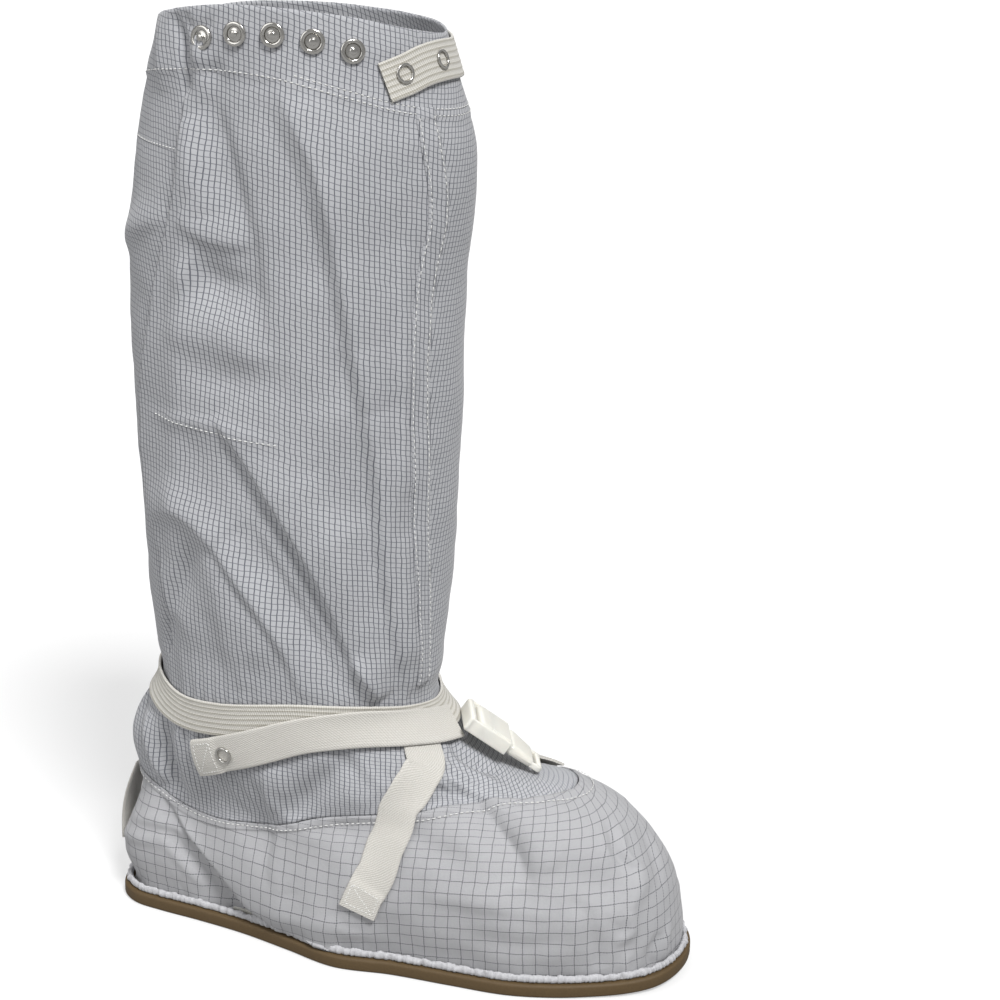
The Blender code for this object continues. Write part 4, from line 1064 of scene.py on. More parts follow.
@dataclass(frozen=True)
class Plain(Finish):
    """Evenly coloured material with a fine grain: moulded plastic, rubber, thread or board."""

    colour: str = "cccccc"
    second: str = "bbbbbb"
    grain_mm: float = 1.5
    bump: float = 0.1
    bump_mm: float = 0.3
    subsurface: float = 0.0
    subsurface_mm: float = 3.0
    coat: float = 0.0

    def build(self) -> bpy.types.Material:
        """Material with two near colours mixed by its grain."""
        material, tree, shader = self.start()
        place = add_node(tree, "ShaderNodeTexCoord")
        grain = add_node(
            tree, "ShaderNodeTexNoise", None,
            vector=place.outputs["Object"], scale=1.0 / (self.grain_mm * MM), detail=5.0, roughness=0.65,
        )
        colour = add_node(
            tree, "ShaderNodeMix", {"data_type": "RGBA"},
            in_0=grain.outputs["Fac"], in_6=linear(self.second), in_7=linear(self.colour),
        )
        tree.links.new(colour.outputs[2], shader.inputs["Base Color"])
        bump = add_node(
            tree, "ShaderNodeBump", None,
            strength=self.bump, distance=self.bump_mm * MM, height=grain.outputs["Fac"],
        )
        tree.links.new(bump.outputs[0], shader.inputs["Normal"])
        if self.subsurface:
            shader.inputs["Subsurface Weight"].default_value = self.subsurface
            shader.inputs["Subsurface Scale"].default_value = self.subsurface_mm * MM
            shader.inputs["Subsurface Radius"].default_value = (1.0, 0.9, 0.8)
        shader.inputs["Coat Weight"].default_value = self.coat
        return material


@dataclass(frozen=True)
class Finishes:
    """Every finish of the boot, built once."""

    # White polyester woven with dark conductive yarn: matt, with a fine grey check.
    shaft_cloth: Finish = CheckCloth("fine_check_polyester", "fine_check_cloth", sheen=0.15)
    # The heavier cloth of the foot: wide squares of black yarn that floats in dashes. Its ground is painted
    # darker than the shaft's: painted shade on the foot.
    foot_cloth: Finish = CheckCloth(
        "coarse_check_polyester", "coarse_check_cloth", sheen=0.15,
        ground="a9a9ab", shade="9d9da0", thread="505156", pitch=6.3,
        upright_width=0.44, level_width=0.44, level_strength=1.0, dash=1.3,
    )
    # Plain polyester, gathered and cut: rough and broken up, with no check.
    edge_cloth: Finish = Plain(
        "gathered_polyester_edge", "binding_cloth", colour="cacacc", second="98989c",
        grain_mm=1.2, bump=0.6,
    )
    # Twill polyester webbing: brighter and creamier than the cloth, with slanting ribs and painted shade in
    # the grooves between them.
    webbing: Finish = Webbing("polyester_twill_webbing", "webbing", sheen=0.2)
    # Knitted elastic: raised cords along the band with painted shade in the valleys between them.
    elastic: Finish = Webbing(
        "ribbed_knit_elastic", "ribbed_elastic", sheen=0.2, colour="e3e1dc", groove_shade="bfbcb4",
        line_pitch=2.64, pitch=1.1, slant=0.25,
    )
    # Nickel plate on pressed brass: a warm grey metal with small, clear highlights.
    nickel: Finish = Plain(
        "nickel_plated_brass", "snap_metal", roughness=0.2, metallic=1.0,
        colour="cbc9c5", second="b3b1ac", grain_mm=0.8, bump=0.05,
    )
    # Moulded acetal: an even ivory white, waxy, with a soft shine on its edges.
    plastic: Finish = Plain(
        "moulded_acetal", "buckle_plastic", roughness=0.42, colour="e2e0d8", second="dbd9cf",
        grain_mm=3.0, bump=0.05, subsurface=0.25, coat=0.15,
    )
    # Moulded rubber: a dull dark brown with a fine speckle.
    rubber: Finish = Plain(
        "moulded_brown_rubber", "sole_rubber", roughness=0.68, colour="5e4b2c", second="463620",
        grain_mm=0.9, bump=0.35,
    )
    # Polyester sewing thread: small bright dots on the greyer cloth.
    thread: Finish = Plain(
        "polyester_thread", "webbing", colour="e6e6e4", second="cfcfcc", grain_mm=0.4, bump=0.4,
    )
    # Pressed fibre board: a dull off-white, seen only down the shaft.
    board: Finish = Plain(
        "insole_board", "insole_board", colour="c9c8c2", second="b8b7b0", grain_mm=1.0, bump=0.3,
    )
    made: dict[str, bpy.types.Material] = field(default_factory=dict)

    def of(self, finish: Finish) -> bpy.types.Material:
        """Material of a finish, made at its first use."""
        if finish.name not in self.made:
            self.made[finish.name] = finish.build()
        return self.made[finish.name]


FINISHES = Finishes()


def add_piece(
    shape: Shape, name: str, finish: Finish, nodes: Sequence[str] = (), smooth: float = 180.0,
) -> bpy.types.Object:
    """Object of a finished shape, on its body, in its finish.

    Args:
        shape: the shape, which is freed.
        name: the piece's name.
        finish: its finish.
        nodes: the solids that it stands for.
        smooth: edges that turn more than this many degrees stay sharp.

    Returns:
        The new object.
    """
    mesh = bpy.data.meshes.new(name)
    shape.to_mesh(mesh)
    shape.free()
    mesh.materials.append(FINISHES.of(finish))
    mesh.shade_smooth()
    if smooth < 180.0:
        mesh.set_sharp_from_angle(angle=math.radians(smooth))
    item = bpy.data.objects.new(name, mesh)
    bpy.context.scene.collection.objects.link(item)
    if nodes:
        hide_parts(*nodes)
    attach(item, "root")
    LOG.info("%s: %d faces", name, len(mesh.polygons))
    return item


Placer = Callable[[Numbers, Numbers], Numbers]


@dataclass(frozen=True)
class Weft:
    """A grid that is laid on the boot: where each share of it goes, and its flat pattern."""

    columns: int
    rows: int
    place: Placer
    pattern: Callable[[Numbers, Numbers, Numbers], Numbers]
    close_across: bool = False
    close_along: bool = False

    def shape(self) -> Shape:
        """Lay the grid: shares from 0 to 1 across its columns and along its rows."""
        shape = bmesh.new()
        layer = shape.loops.layers.uv.new("weave")
        bmesh.ops.create_grid(shape, x_segments=self.columns, y_segments=self.rows, size=0.5)
        shape.verts.ensure_lookup_table()
        flat = np.array([vert.co[:2] for vert in shape.verts]) + 0.5
        placed = self.place(flat[:, 0], flat[:, 1])
        corners = [loop for face in shape.faces for loop in face.loops]
        index = np.array([loop.vert.index for loop in corners])
        middle = np.repeat(flat[index, 0].reshape(-1, 4).mean(axis=1), 4)
        pattern = self.pattern(flat[index, 0], flat[index, 1], middle)
        for loop, place in zip(corners, pattern):
            loop[layer].uv = place
        for vert, point in zip(shape.verts, placed):
            vert.co = point
        if self.close_across or self.close_along:
            edge = [vert for vert in shape.verts if vert.is_boundary]
            bmesh.ops.remove_doubles(shape, verts=edge, dist=MERGE)
        return shape


def face_outwards(shape: Shape) -> None:
    """Turn every face of a closed shape outwards."""
    bmesh.ops.recalc_face_normals(shape, faces=shape.faces)


def close_ends(shape: Shape) -> None:
    """Close the open ends of a shape and turn every face outwards."""
    bmesh.ops.holes_fill(shape, edges=[edge for edge in shape.edges if edge.is_boundary], sides=0)
    face_outwards(shape)


SOLE_ROUND_MM = 700.0


def flat_pattern(across: Numbers, along: Numbers, deep_mm: float) -> Numbers:
    """Flat pattern in mm of a piece that runs once round the sole and is so many mm deep."""
    return np.stack([across * SOLE_ROUND_MM, along * deep_mm], axis=-1)


@dataclass(frozen=True)
class Chart:
    """Flat pattern of the cloth: the way in mm along each column and round each ring."""

    upright_at: float = 0.012
    front: float = 0.62
    lean_behind: float = 0.22
    lean_in_front: float = -0.20
    turn_count: int = 241
    level_count: int = 191

    @cached_property
    def points(self) -> Numbers:
        """Points of the bare face in mm at every turn and level of the tables."""
        turns = np.linspace(0.0, 1.0, self.turn_count)
        levels = np.linspace(0.0, LAST.collar_level, self.level_count)
        return LAST.bare(turns[:, None], levels[None, :]) / MM

    @cached_property
    def middles(self) -> Numbers:
        """Turn of the outer side's upright middle line at every level."""
        half = self.turn_count // 2 + 1
        turns = np.linspace(0.0, 0.5, half)
        rings = self.points[:half, :, 0].T
        return np.array([np.interp(self.upright_at / MM, ring, turns) for ring in rings])

    @cached_property
    def ways(self) -> tuple[Numbers, Numbers]:
        """Way in mm along every column from the sole, and round every ring from the back."""
        points = self.points
        along = np.linalg.norm(np.diff(points, axis=1), axis=-1)
        around = np.linalg.norm(np.diff(points, axis=0), axis=-1)
        return (
            np.pad(np.cumsum(along, axis=1), ((0, 0), (1, 0))),
            np.pad(np.cumsum(around, axis=0), ((1, 0), (0, 0))),
        )

    def read(self, table: Numbers, turn: Numbers, level: Numbers) -> Numbers:
        """Value of a table of ways at places between its turns and levels."""
        column = np.clip(turn, 0.0, 1.0) * (self.turn_count - 1)
        row = np.clip(level / LAST.collar_level, 0.0, 1.0) * (self.level_count - 1)
        left = np.minimum(column.astype(int), self.turn_count - 2)
        low = np.minimum(row.astype(int), self.level_count - 2)
        across = column - left
        up = row - low
        below = table[left, low] * (1.0 - across) + table[left + 1, low] * across
        above = table[left, low + 1] * (1.0 - across) + table[left + 1, low + 1] * across
        return below * (1.0 - up) + above * up

    def height(self, turn: Numbers, level: Numbers) -> Numbers:
        """Way in mm up the cloth from the sole at a turn."""
        return self.read(self.ways[0], turn, level)

    def round(self, turn: Numbers, level: Numbers, middle: Numbers) -> Numbers:
        """Way in mm round the cloth from the middle of the side that a face belongs to."""
        upright = np.interp(level, np.linspace(0.0, LAST.collar_level, self.level_count), self.middles)
        start = np.where(middle < self.front, upright, 1.0 - upright)
        around = self.ways[1]
        return self.read(around, turn, level) - self.read(around, start, level)


CHART = Chart()


@dataclass(frozen=True)
class Shaft:
    """Tall shaft of fine-check cloth with its pleat, front seam and hemmed collar."""

    columns: int = 232
    rows: int = 196
    wall: float = 0.0011
    rear_share: float = 0.24
    front_share: float = 0.74
    levelled: float = 0.5
    seam_gap: float = 0.02
    table_turn: float = 0.27
    table_steps: int = 200

    @cached_property
    def level_table(self) -> tuple[Numbers, Numbers]:
        """Shares of the rows and the levels that they reach, evenly by height outside."""
        levels = np.linspace(LAST.seam_level + self.seam_gap, LAST.collar_level, self.table_steps)
        height = CHART.height(np.full(self.table_steps, self.table_turn), levels)
        return (height - height[0]) / (height[-1] - height[0]), levels

    def spot(self, across: Numbers, along: Numbers) -> tuple[Numbers, Numbers]:
        """Turn and level of a share of the grid, whose columns follow both panel edges."""
        shares, levels = self.level_table
        level = np.interp(along, shares, levels)
        rear = turn_on(REAR_EDGE, level)
        front = turn_on(FRONT_EDGE, level)
        first = across / self.rear_share * rear
        second = rear + (across - self.rear_share) / (self.front_share - self.rear_share) * (front - rear)
        third = front + (across - self.front_share) / (1.0 - self.front_share) * (1.0 - front)
        turn = np.where(across < self.rear_share, first, np.where(across < self.front_share, second, third))
        return turn, LAST.follow_seam(turn, level)

    def place(self, across: Numbers, along: Numbers) -> Numbers:
        """Points of the shaft's outer face."""
        return cloth_face(*self.spot(across, along))

    def pattern(self, across: Numbers, along: Numbers, middle: Numbers) -> Numbers:
        """Flat pattern of the shaft: three panels whose grain leans its own way."""
        turn, level = self.spot(across, along)
        middle_turn, _ = self.spot(middle, along)
        ankle = np.full_like(turn, LAST.ankle_level)
        height = CHART.height(turn, level) - self.levelled * CHART.height(turn, ankle)
        behind = middle < self.rear_share
        in_front = middle > self.front_share
        lean = np.where(behind, CHART.lean_behind, np.where(in_front, CHART.lean_in_front, 0.0))
        return np.stack([CHART.round(turn, level, middle_turn) + lean * height, height], axis=-1)

    def build(self) -> None:
        """Build the shaft's cloth."""
        weft = Weft(self.columns, self.rows, self.place, self.pattern, close_across=True)
        item = add_piece(weft.shape(), "shaft_cloth", FINISHES.shaft_cloth, ["shaft"])
        thicken(item, self.wall)


def thicken(item: bpy.types.Object, wall: float) -> None:
    """Give a sheet its wall, inwards from its outer face."""
    solid = item.modifiers.new("wall", "SOLIDIFY")
    solid.thickness = wall
    solid.offset = -1.0


@dataclass(frozen=True)
class Foot:
    """Foot of coarse-check cloth, folded under at its seam and gathered in at the sole."""

    columns: int = 330
    rows: int = 74
    wall: float = 0.0011
    rise: float = 9.0
    rise_along: tuple[float, float] = (20.0, 130.0)
    outer_columns: float = 0.64
    outer_turns: float = 0.53

    def spot(self, across: Numbers, along: Numbers) -> tuple[Numbers, Numbers]:
        """Turn and level of a share of the grid, closer together on the outer side."""
        turn = np.interp(across, (0.0, self.outer_columns, 1.0), (0.0, self.outer_turns, 1.0))
        level = along * LAST.seam_level
        return turn, LAST.follow_seam(turn, level)

    def place(self, across: Numbers, along: Numbers) -> Numbers:
        """Points of the foot's outer face, raised where its edge is folded at the seam."""
        turn, level = self.spot(across, along)
        top = CHART.height(turn, LAST.follow_seam(turn, np.full_like(turn, LAST.seam_level)))
        below = (top - CHART.height(turn, level)) * MM
        folded = smooth_step(below, RELIEF.seam_fold_width + 0.0012, RELIEF.seam_fold_width)
        return cloth_face(turn, level, RELIEF.seam_fold * folded)

    def pattern(self, across: Numbers, along: Numbers, middle: Numbers) -> Numbers:
        """Flat pattern of the foot."""
        turn, level = self.spot(across, along)
        middle_turn, _ = self.spot(middle, along)
        around = CHART.round(turn, level, middle_turn)
        rise = self.rise * smooth_step(around, *self.rise_along)
        return np.stack([around, CHART.height(turn, level) - rise], axis=-1)

    def build(self) -> None:
        """Build the foot's cloth."""
        weft = Weft(self.columns, self.rows, self.place, self.pattern, close_across=True)
        item = add_piece(weft.shape(), "foot_cloth", FINISHES.foot_cloth, ["foot_upper"])
        thicken(item, self.wall)


@dataclass(frozen=True)
class Binding:
    """Gathered edge of white cloth that stands on the sole round the foot."""

    columns: int = 1700
    rows: int = 12
    crinkle_mm: float = 1.9
    ragged: float = 0.0010
    gather_count: float = 225.0
    gather_wander: float = 1.4
    thin: float = 0.72
    swell: float = 0.42
    flat: float = 0.86
    swell_up: float = 0.22
    puff_share: float = 0.4
    ruffle_scale: float = 0.55
    ruffle_offset: tuple[float, float, float] = (9.0, 4.0, 2.0)
    deep_mm: float = 12.0

    def place(self, across: Numbers, along: Numbers) -> Numbers:
        """Points of the binding: once round the sole, and once round its crinkled section."""
        angle = FULL_TURN * along
        low = LAST.sole_thickness + LAST.fit_gap
        path = LAST.outline(across, LAST.binding_inset, low)
        scaled = path / (self.crinkle_mm * MM)
        puff = np.array([noise.noise(Vector(point)) for point in scaled])
        elsewhere = Vector(self.ruffle_offset)
        ruffle = np.array(
            [noise.noise(Vector(point) * self.ruffle_scale + elsewhere) for point in scaled]
        )
        outward = np.cos(angle)
        upward = np.sin(angle)
        gather = np.abs(np.sin(math.pi * (across * self.gather_count + self.gather_wander * puff)))
        half = LAST.binding_width / 2.0 * (self.thin + self.swell * gather)
        half = half + self.puff_share * self.ragged * puff
        rise = LAST.binding_height / 2.0 * (self.flat + self.swell_up * gather)
        rise = rise + self.ragged * ruffle * (upward > 0.0)
        inset = LAST.binding_inset + LAST.binding_width / 2.0 - half * outward
        inset = inset - self.ragged * puff * np.maximum(outward, 0.0)
        height = low + LAST.binding_height / 2.0 + rise * upward
        return LAST.outline(across, inset, height)

    def pattern(self, across: Numbers, along: Numbers, middle: Numbers) -> Numbers:
        """Flat pattern of the binding in mm."""
        return flat_pattern(across, along, self.deep_mm)

    def build(self) -> None:
        """Build the gathered edge."""
        weft = Weft(
            self.columns, self.rows, self.place, self.pattern, close_across=True, close_along=True,
        )
        shape = weft.shape()
        face_outwards(shape)
        add_piece(shape, "gathered_edge", FINISHES.edge_cloth, ["seam_binding"])


@dataclass(frozen=True)
class Sole:
    """Moulded sole: smooth edge, ribs across its underside and a stitched channel."""

    columns: int = 480
    edge_round: float = 0.0016
    channel_inset: float = 0.005
    channel_width: float = 0.003
    channel_depth: float = 0.0008
    rib_pitch: float = 0.0022
    rib_depth: float = 0.0006
    rib_rows_each: int = 6
    rib_power: float = 0.7
    channel_slope: float = 0.0002
    shelf: float = 0.006
    top_reach: float = 0.012
    arc_steps: int = 5
    tread_columns: int = 16
    tread_wall: float = 0.0003
    tread_merge: float = 0.001 * MM
    line_steps: int = 4001
    deep_mm: float = 300.0
    stitch_pitch: float = 0.0034
    stitch_radius: float = 0.0004

    def section(self) -> tuple[Numbers, Numbers]:
        """Insets and heights of the sole's section, from its underside round to its top."""
        inner = self.channel_inset + self.channel_width
        arc = np.linspace(-math.pi / 2.0, 0.0, self.arc_steps)
        low_inset = self.edge_round - self.edge_round * np.cos(arc)
        low_height = self.edge_round + self.edge_round * np.sin(arc)
        top = LAST.sole_thickness
        outer = self.channel_inset
        deep = self.channel_depth + self.channel_slope
        inset = [inner + self.shelf, inner, inner, outer, outer - self.channel_slope]
        height = [self.rib_depth, self.rib_depth, deep, deep, 0.0]
        return (
            np.array([*inset, *low_inset, *low_inset[::-1], self.top_reach]),
            np.array([*height, *low_height, *(top - low_height[::-1]), top]),
        )

    def place(self, across: Numbers, along: Numbers) -> Numbers:
        """Points of the sole's body."""
        insets, heights = self.section()
        share = along * (len(insets) - 1)
        number = np.arange(len(insets))
        return LAST.outline(across, np.interp(share, number, insets), np.interp(share, number, heights))

    def tread_place(self, across: Numbers, along: Numbers) -> Numbers:
        """Points of the ribbed underside, between the two sides of the channel."""
        inset = self.channel_inset + self.channel_width
        length = LAST.sole_length - 2.0 * inset
        angle = np.arccos(np.clip(1.0 - 2.0 * along, -1.0, 1.0))
        half = np.maximum(LAST.sole_half(angle) - inset * np.sqrt(np.sin(angle)), 0.0)
        x = inset + along * length
        rib = np.abs(np.sin(math.pi * x / self.rib_pitch)) ** self.rib_power
        z = self.rib_depth * (1.0 - rib) + LAST.spring(x)
        y = LAST.sole_shift(angle) + (2.0 * across - 1.0) * half
        return np.stack([x - LAST.axis_from_heel, y, z], axis=-1)

    def plain_pattern(self, across: Numbers, along: Numbers, middle: Numbers) -> Numbers:
        """Flat pattern of a moulded face, in mm."""
        return flat_pattern(across, along, self.deep_mm)

    def build(self) -> None:
        """Build the sole, its tread and the thread in its channel."""
        insets, _ = self.section()
        rows = len(insets) - 1
        body = Weft(self.columns, rows, self.place, self.plain_pattern, close_across=True).shape()
        close_ends(body)
        add_piece(body, "moulded_sole", FINISHES.rubber, ["outsole"], smooth=50.0)
        length = LAST.sole_length - 2.0 * (self.channel_inset + self.channel_width)
        tread_rows = round(length / self.rib_pitch) * self.rib_rows_each
        tread = Weft(self.tread_columns, tread_rows, self.tread_place, self.plain_pattern).shape()
        bmesh.ops.remove_doubles(tread, verts=tread.verts, dist=self.tread_merge)
        for face in tread.faces:
            if face.normal.z > 0.0:
                face.normal_flip()
        item = add_piece(tread, "ribbed_tread", FINISHES.rubber)
        thicken(item, self.tread_wall)
        self.stitch()

    def stitch(self) -> None:
        """Sew the white thread along the channel under the sole."""
        inset = self.channel_inset + self.channel_width / 2.0
        turns = np.linspace(0.0, 1.0, self.line_steps)
        line = LAST.outline(turns, inset, self.channel_depth - 0.2 * self.stitch_radius)
        threads = bmesh.new()
        sew(threads, line, self.stitch_pitch, self.stitch_radius)
        add_piece(threads, "channel_thread", FINISHES.thread)


def sew(shape: Shape, line: Numbers, pitch: float, radius: float, fill: float = 0.72) -> None:
    """Add a row of stitches along a line to a shape, one slim body for each stitch.

    Args:
        shape: the shape that takes the stitches.
        line: closely spaced points of the line.
        pitch: distance from stitch to stitch.
        radius: half the thread's thickness.
        fill: share of the pitch that a stitch takes.
    """
    run = way_along(line)
    count = max(1, int(run[-1] / pitch))
    for number in range(count):
        start, end = (
            Vector([np.interp((number + share) * pitch, run, line[:, axis]) for axis in range(3)])
            for share in (0.5 - fill / 2.0, 0.5 + fill / 2.0)
        )
        ahead = end - start
        turned = ahead.to_track_quat("Z", "Y").to_matrix().to_4x4()
        size = Matrix.Diagonal((radius, radius, ahead.length / 2.0, 1.0))
        placing = Matrix.Translation((start + end) / 2.0) @ turned @ size
        bmesh.ops.create_icosphere(shape, subdivisions=1, radius=1.0, matrix=placing)


@dataclass(frozen=True)
class Insole:
    """Pale board inside the foot. Its section is rows of share, inset and share of thickness."""

    inset: float = 0.0064
    thickness: float = 0.003
    columns: int = 240
    rows: int = 10
    deep_mm: float = 20.0
    section: tuple[tuple[float, float, float], ...] = (
        (0.00, 0.0120, 0.0),
        (0.20, 0.0004, 0.0),
        (0.35, 0.0000, 0.2),
        (0.65, 0.0000, 0.8),
        (0.80, 0.0004, 1.0),
        (1.00, 0.0120, 1.0),
    )

    def place(self, across: Numbers, along: Numbers) -> Numbers:
        """Points of the board: underside, rounded edge and top."""
        shares, insets, heights = np.array(self.section).T
        inset = self.inset + np.interp(along, shares, insets)
        low = LAST.sole_thickness + LAST.fit_gap
        height = low + self.thickness * np.interp(along, shares, heights)
        return LAST.outline(across, inset, height)

    def pattern(self, across: Numbers, along: Numbers, middle: Numbers) -> Numbers:
        """Flat pattern of the board in mm."""
        return flat_pattern(across, along, self.deep_mm)

    def build(self) -> None:
        """Build the insole."""
        shape = Weft(self.columns, self.rows, self.place, self.pattern, close_across=True).shape()
        close_ends(shape)
        add_piece(shape, "insole_board", FINISHES.board, ["insole"], smooth=50.0)


class Surface(Enum):
    """How the face of a band is made."""

    FLAT = "flat twill"
    RIBBED = "ribs along its length"


@dataclass(frozen=True)
class Strap:
    """A band of webbing or elastic that lies on the cloth."""

    name: str
    node: str
    path: tuple[Spot, ...]
    width: float
    thickness: float
    lift: float
    surface: Surface = Surface.FLAT
    closed: bool = False
    fold_end: float = 0.0
    fold_blend: float = 0.001
    doubling: float = 0.75
    skew_end: float = 0.0
    skew_reach: float = 0.03
    skew_step: float = 0.001
    rib_count: int = 7
    rib_depth: float = 0.00028
    row_step: float = 0.0016
    columns: int = 36

    @cached_property
    def line(self) -> Route:
        """Middle line of the band."""
        return Route.along(self.path, 240, self.closed)

    def point(self, run: Numbers, across: Numbers, height: Numbers) -> Numbers:
        """Points of the band.

        Args:
            run: way along the band in metres.
            across: offset from its middle line in metres.
            height: height over its back in metres.

        Returns:
            The points in the frame.
        """
        turn, level = self.line.beside(run, across)
        if self.skew_end:
            near_end = smooth_step(run, self.line.length - self.skew_reach, self.line.length)
            back = self.line.beside(run - self.skew_step, across)
            slide = self.skew_end * across * near_end / self.skew_step
            turn = turn + slide * (turn - back[0])
            level = level + slide * (level - back[1])
        return LAST.skin(turn, level, self.lift + height)

    def section(self, share: Numbers) -> tuple[Numbers, Numbers]:
        """Offset across and height of the band's rounded section, once round it."""
        round_edge = self.thickness / 2.0
        flat = self.width / 2.0 - round_edge
        corners = (0.0, 0.44, 0.5, 0.94, 1.0)
        across = np.interp(share, corners, (-flat, flat, flat, -flat, -flat))
        angle = np.radians(np.interp(share, corners, (90.0, 90.0, -90.0, -90.0, -270.0)))
        height = round_edge + round_edge * np.sin(angle)
        if self.surface is Surface.RIBBED:
            rib = np.abs(np.sin(math.pi * self.rib_count * (across / self.width + 0.5)))
            height = height - self.rib_depth * (1.0 - rib ** 0.6) * (share < 0.44)
        return across + round_edge * np.cos(angle), height

    def doubled(self, run: Numbers) -> Numbers:
        """Share by which the band is thicker where its end is folded back."""
        start = self.line.length - self.fold_end
        near_end = smooth_step(run, start - self.fold_blend, start + self.fold_blend)
        return near_end * (self.fold_end > 0.0)

    def place(self, across: Numbers, along: Numbers) -> Numbers:
        """Points of the band's skin."""
        offset, height = self.section(across)
        run = along * self.line.length
        return self.point(run, offset, height * (1.0 + self.doubling * self.doubled(run)))

    def pattern(self, across: Numbers, along: Numbers, middle: Numbers) -> Numbers:
        """Flat pattern of the band: across it and along it, in mm."""
        offset, _ = self.section(across)
        return np.stack([offset / MM, along * self.line.length / MM], axis=-1)

    def build(self) -> None:
        """Build the band."""
        rows = round(self.line.length / self.row_step)
        weft = Weft(
            self.columns, rows, self.place, self.pattern, close_across=True, close_along=self.closed,
        )
        shape = weft.shape()
        if self.closed:
            face_outwards(shape)
        else:
            close_ends(shape)
        finish = FINISHES.elastic if self.surface is Surface.RIBBED else FINISHES.webbing
        add_piece(shape, self.name, finish, [self.node], smooth=60.0)


STRAP_GAP = 0.0007
ELASTIC_THICKNESS = 0.0014
WEBBING_THICKNESS = 0.0013
WEBBING_WIDTH = 0.0195
ELASTIC_WIDTH = 0.0185
COLLAR_LIFT = 0.0014
STRAPS = (
    Strap(
        "ankle_elastic", "ankle_strap", ANKLE_PATH, ELASTIC_WIDTH, ELASTIC_THICKNESS, STRAP_GAP,
        Surface.RIBBED, closed=True, columns=72,
    ),
    Strap(
        "snap_webbing", "snap_strap", SNAP_PATH, WEBBING_WIDTH, WEBBING_THICKNESS,
        2.0 * STRAP_GAP + ELASTIC_THICKNESS, fold_end=0.016, skew_end=0.26,
    ),
    Strap(
        "outer_webbing", "instep_strap_outer", OUTER_PATH, WEBBING_WIDTH, WEBBING_THICKNESS,
        STRAP_GAP, fold_end=0.014,
    ),
    Strap(
        "inner_webbing", "instep_strap_inner", INNER_PATH, WEBBING_WIDTH, WEBBING_THICKNESS,
        STRAP_GAP,
    ),
    Strap(
        "collar_elastic", "collar_tab", TAB_PATH, ELASTIC_WIDTH, ELASTIC_THICKNESS, COLLAR_LIFT,
        Surface.RIBBED, columns=72,
    ),
)


@dataclass(frozen=True)
class Snaps:
    """Nickel snap studs at the collar and ring snaps on tab and strap."""

    stud_diameter: float = 0.0112
    stud_height: float = 0.0024
    ring_diameter: float = 0.0092
    ring_bore: float = 0.0066
    ring_height: float = 0.0012
    count: int = 5
    first: Spot = Spot(0.192, 18.50)
    last: Spot = Spot(0.352, 18.46)
    arch: float = 0.12
    steps: int = 56

    def turned(self, profile: Iterable[tuple[float, float]], placing: Matrix) -> Shape:
        """Body of a profile that is spun round.

        Args:
            profile: radii and heights.
            placing: where the body goes.

        Returns:
            The body in its place.
        """
        shape = bmesh.new()
        verts = [shape.verts.new((radius, 0.0, height)) for radius, height in profile]
        edges = [shape.edges.new(pair) for pair in zip(verts, verts[1:])]
        bmesh.ops.spin(
            shape, geom=verts + edges, cent=(0.0, 0.0, 0.0), axis=(0.0, 0.0, 1.0),
            angle=FULL_TURN, steps=self.steps, use_merge=True,
        )
        bmesh.ops.remove_doubles(shape, verts=shape.verts, dist=MERGE)
        bmesh.ops.transform(shape, matrix=placing, verts=shape.verts)
        face_outwards(shape)
        return shape

    def stud_profile(self) -> list[tuple[float, float]]:
        """Profile of a stud: post, dish and rolled rim, from the top round to the back."""
        radius = self.stud_diameter / 2.0
        height = self.stud_height
        post = [(0.0, 1.0), (0.16, 1.0), (0.27, 0.93), (0.31, 0.80), (0.27, 0.62), (0.26, 0.40)]
        dish = [(0.34, 0.30), (0.58, 0.30)]
        arc = np.linspace(math.pi * 0.9, -math.pi * 0.1, 9)
        rim = [(0.81 + 0.19 * math.cos(a), 0.40 + 0.26 * math.sin(a)) for a in arc]
        return [(x * radius, z * height) for x, z in [*post, *dish, *rim, (0.98, 0.0), (0.0, 0.0)]]

    def ring_profile(self) -> list[tuple[float, float]]:
        """Closed profile of a ring snap's rounded rim."""
        middle = (self.ring_diameter + self.ring_bore) / 4.0
        half = (self.ring_diameter - self.ring_bore) / 4.0
        arc = np.linspace(0.0, FULL_TURN, 17)
        lift = self.ring_height / 2.0
        return [(middle + half * math.cos(a), lift + lift * math.sin(a)) for a in arc]

    def build(self) -> None:
        """Build every snap."""
        for number in range(self.count):
            share = number / (self.count - 1)
            spot = Spot(
                self.first.turn + share * (self.last.turn - self.first.turn),
                self.first.level
                + share * (self.last.level - self.first.level)
                + self.arch * math.sin(math.pi * share),
            )
            node = f"collar_stud_{number + 1}"
            shape = self.turned(self.stud_profile(), seat_matrix(spot, COLLAR_LIFT))
            add_piece(shape, f"snap_stud_{number + 1}", FINISHES.nickel, [node], smooth=40.0)
        on_tab = COLLAR_LIFT + ELASTIC_THICKNESS
        on_strap = 2.0 * (STRAP_GAP + ELASTIC_THICKNESS)
        for node, spot, lift in (
            ("tab_ring_1", Spot(0.406, 18.17), on_tab),
            ("tab_ring_2", Spot(0.470, 18.44), on_tab),
            ("strap_ring", Spot(0.211, 8.23), on_strap),
        ):
            shape = self.turned(self.ring_profile(), seat_matrix(spot, lift))
            add_piece(shape, f"nickel_{node}", FINISHES.nickel, [node])


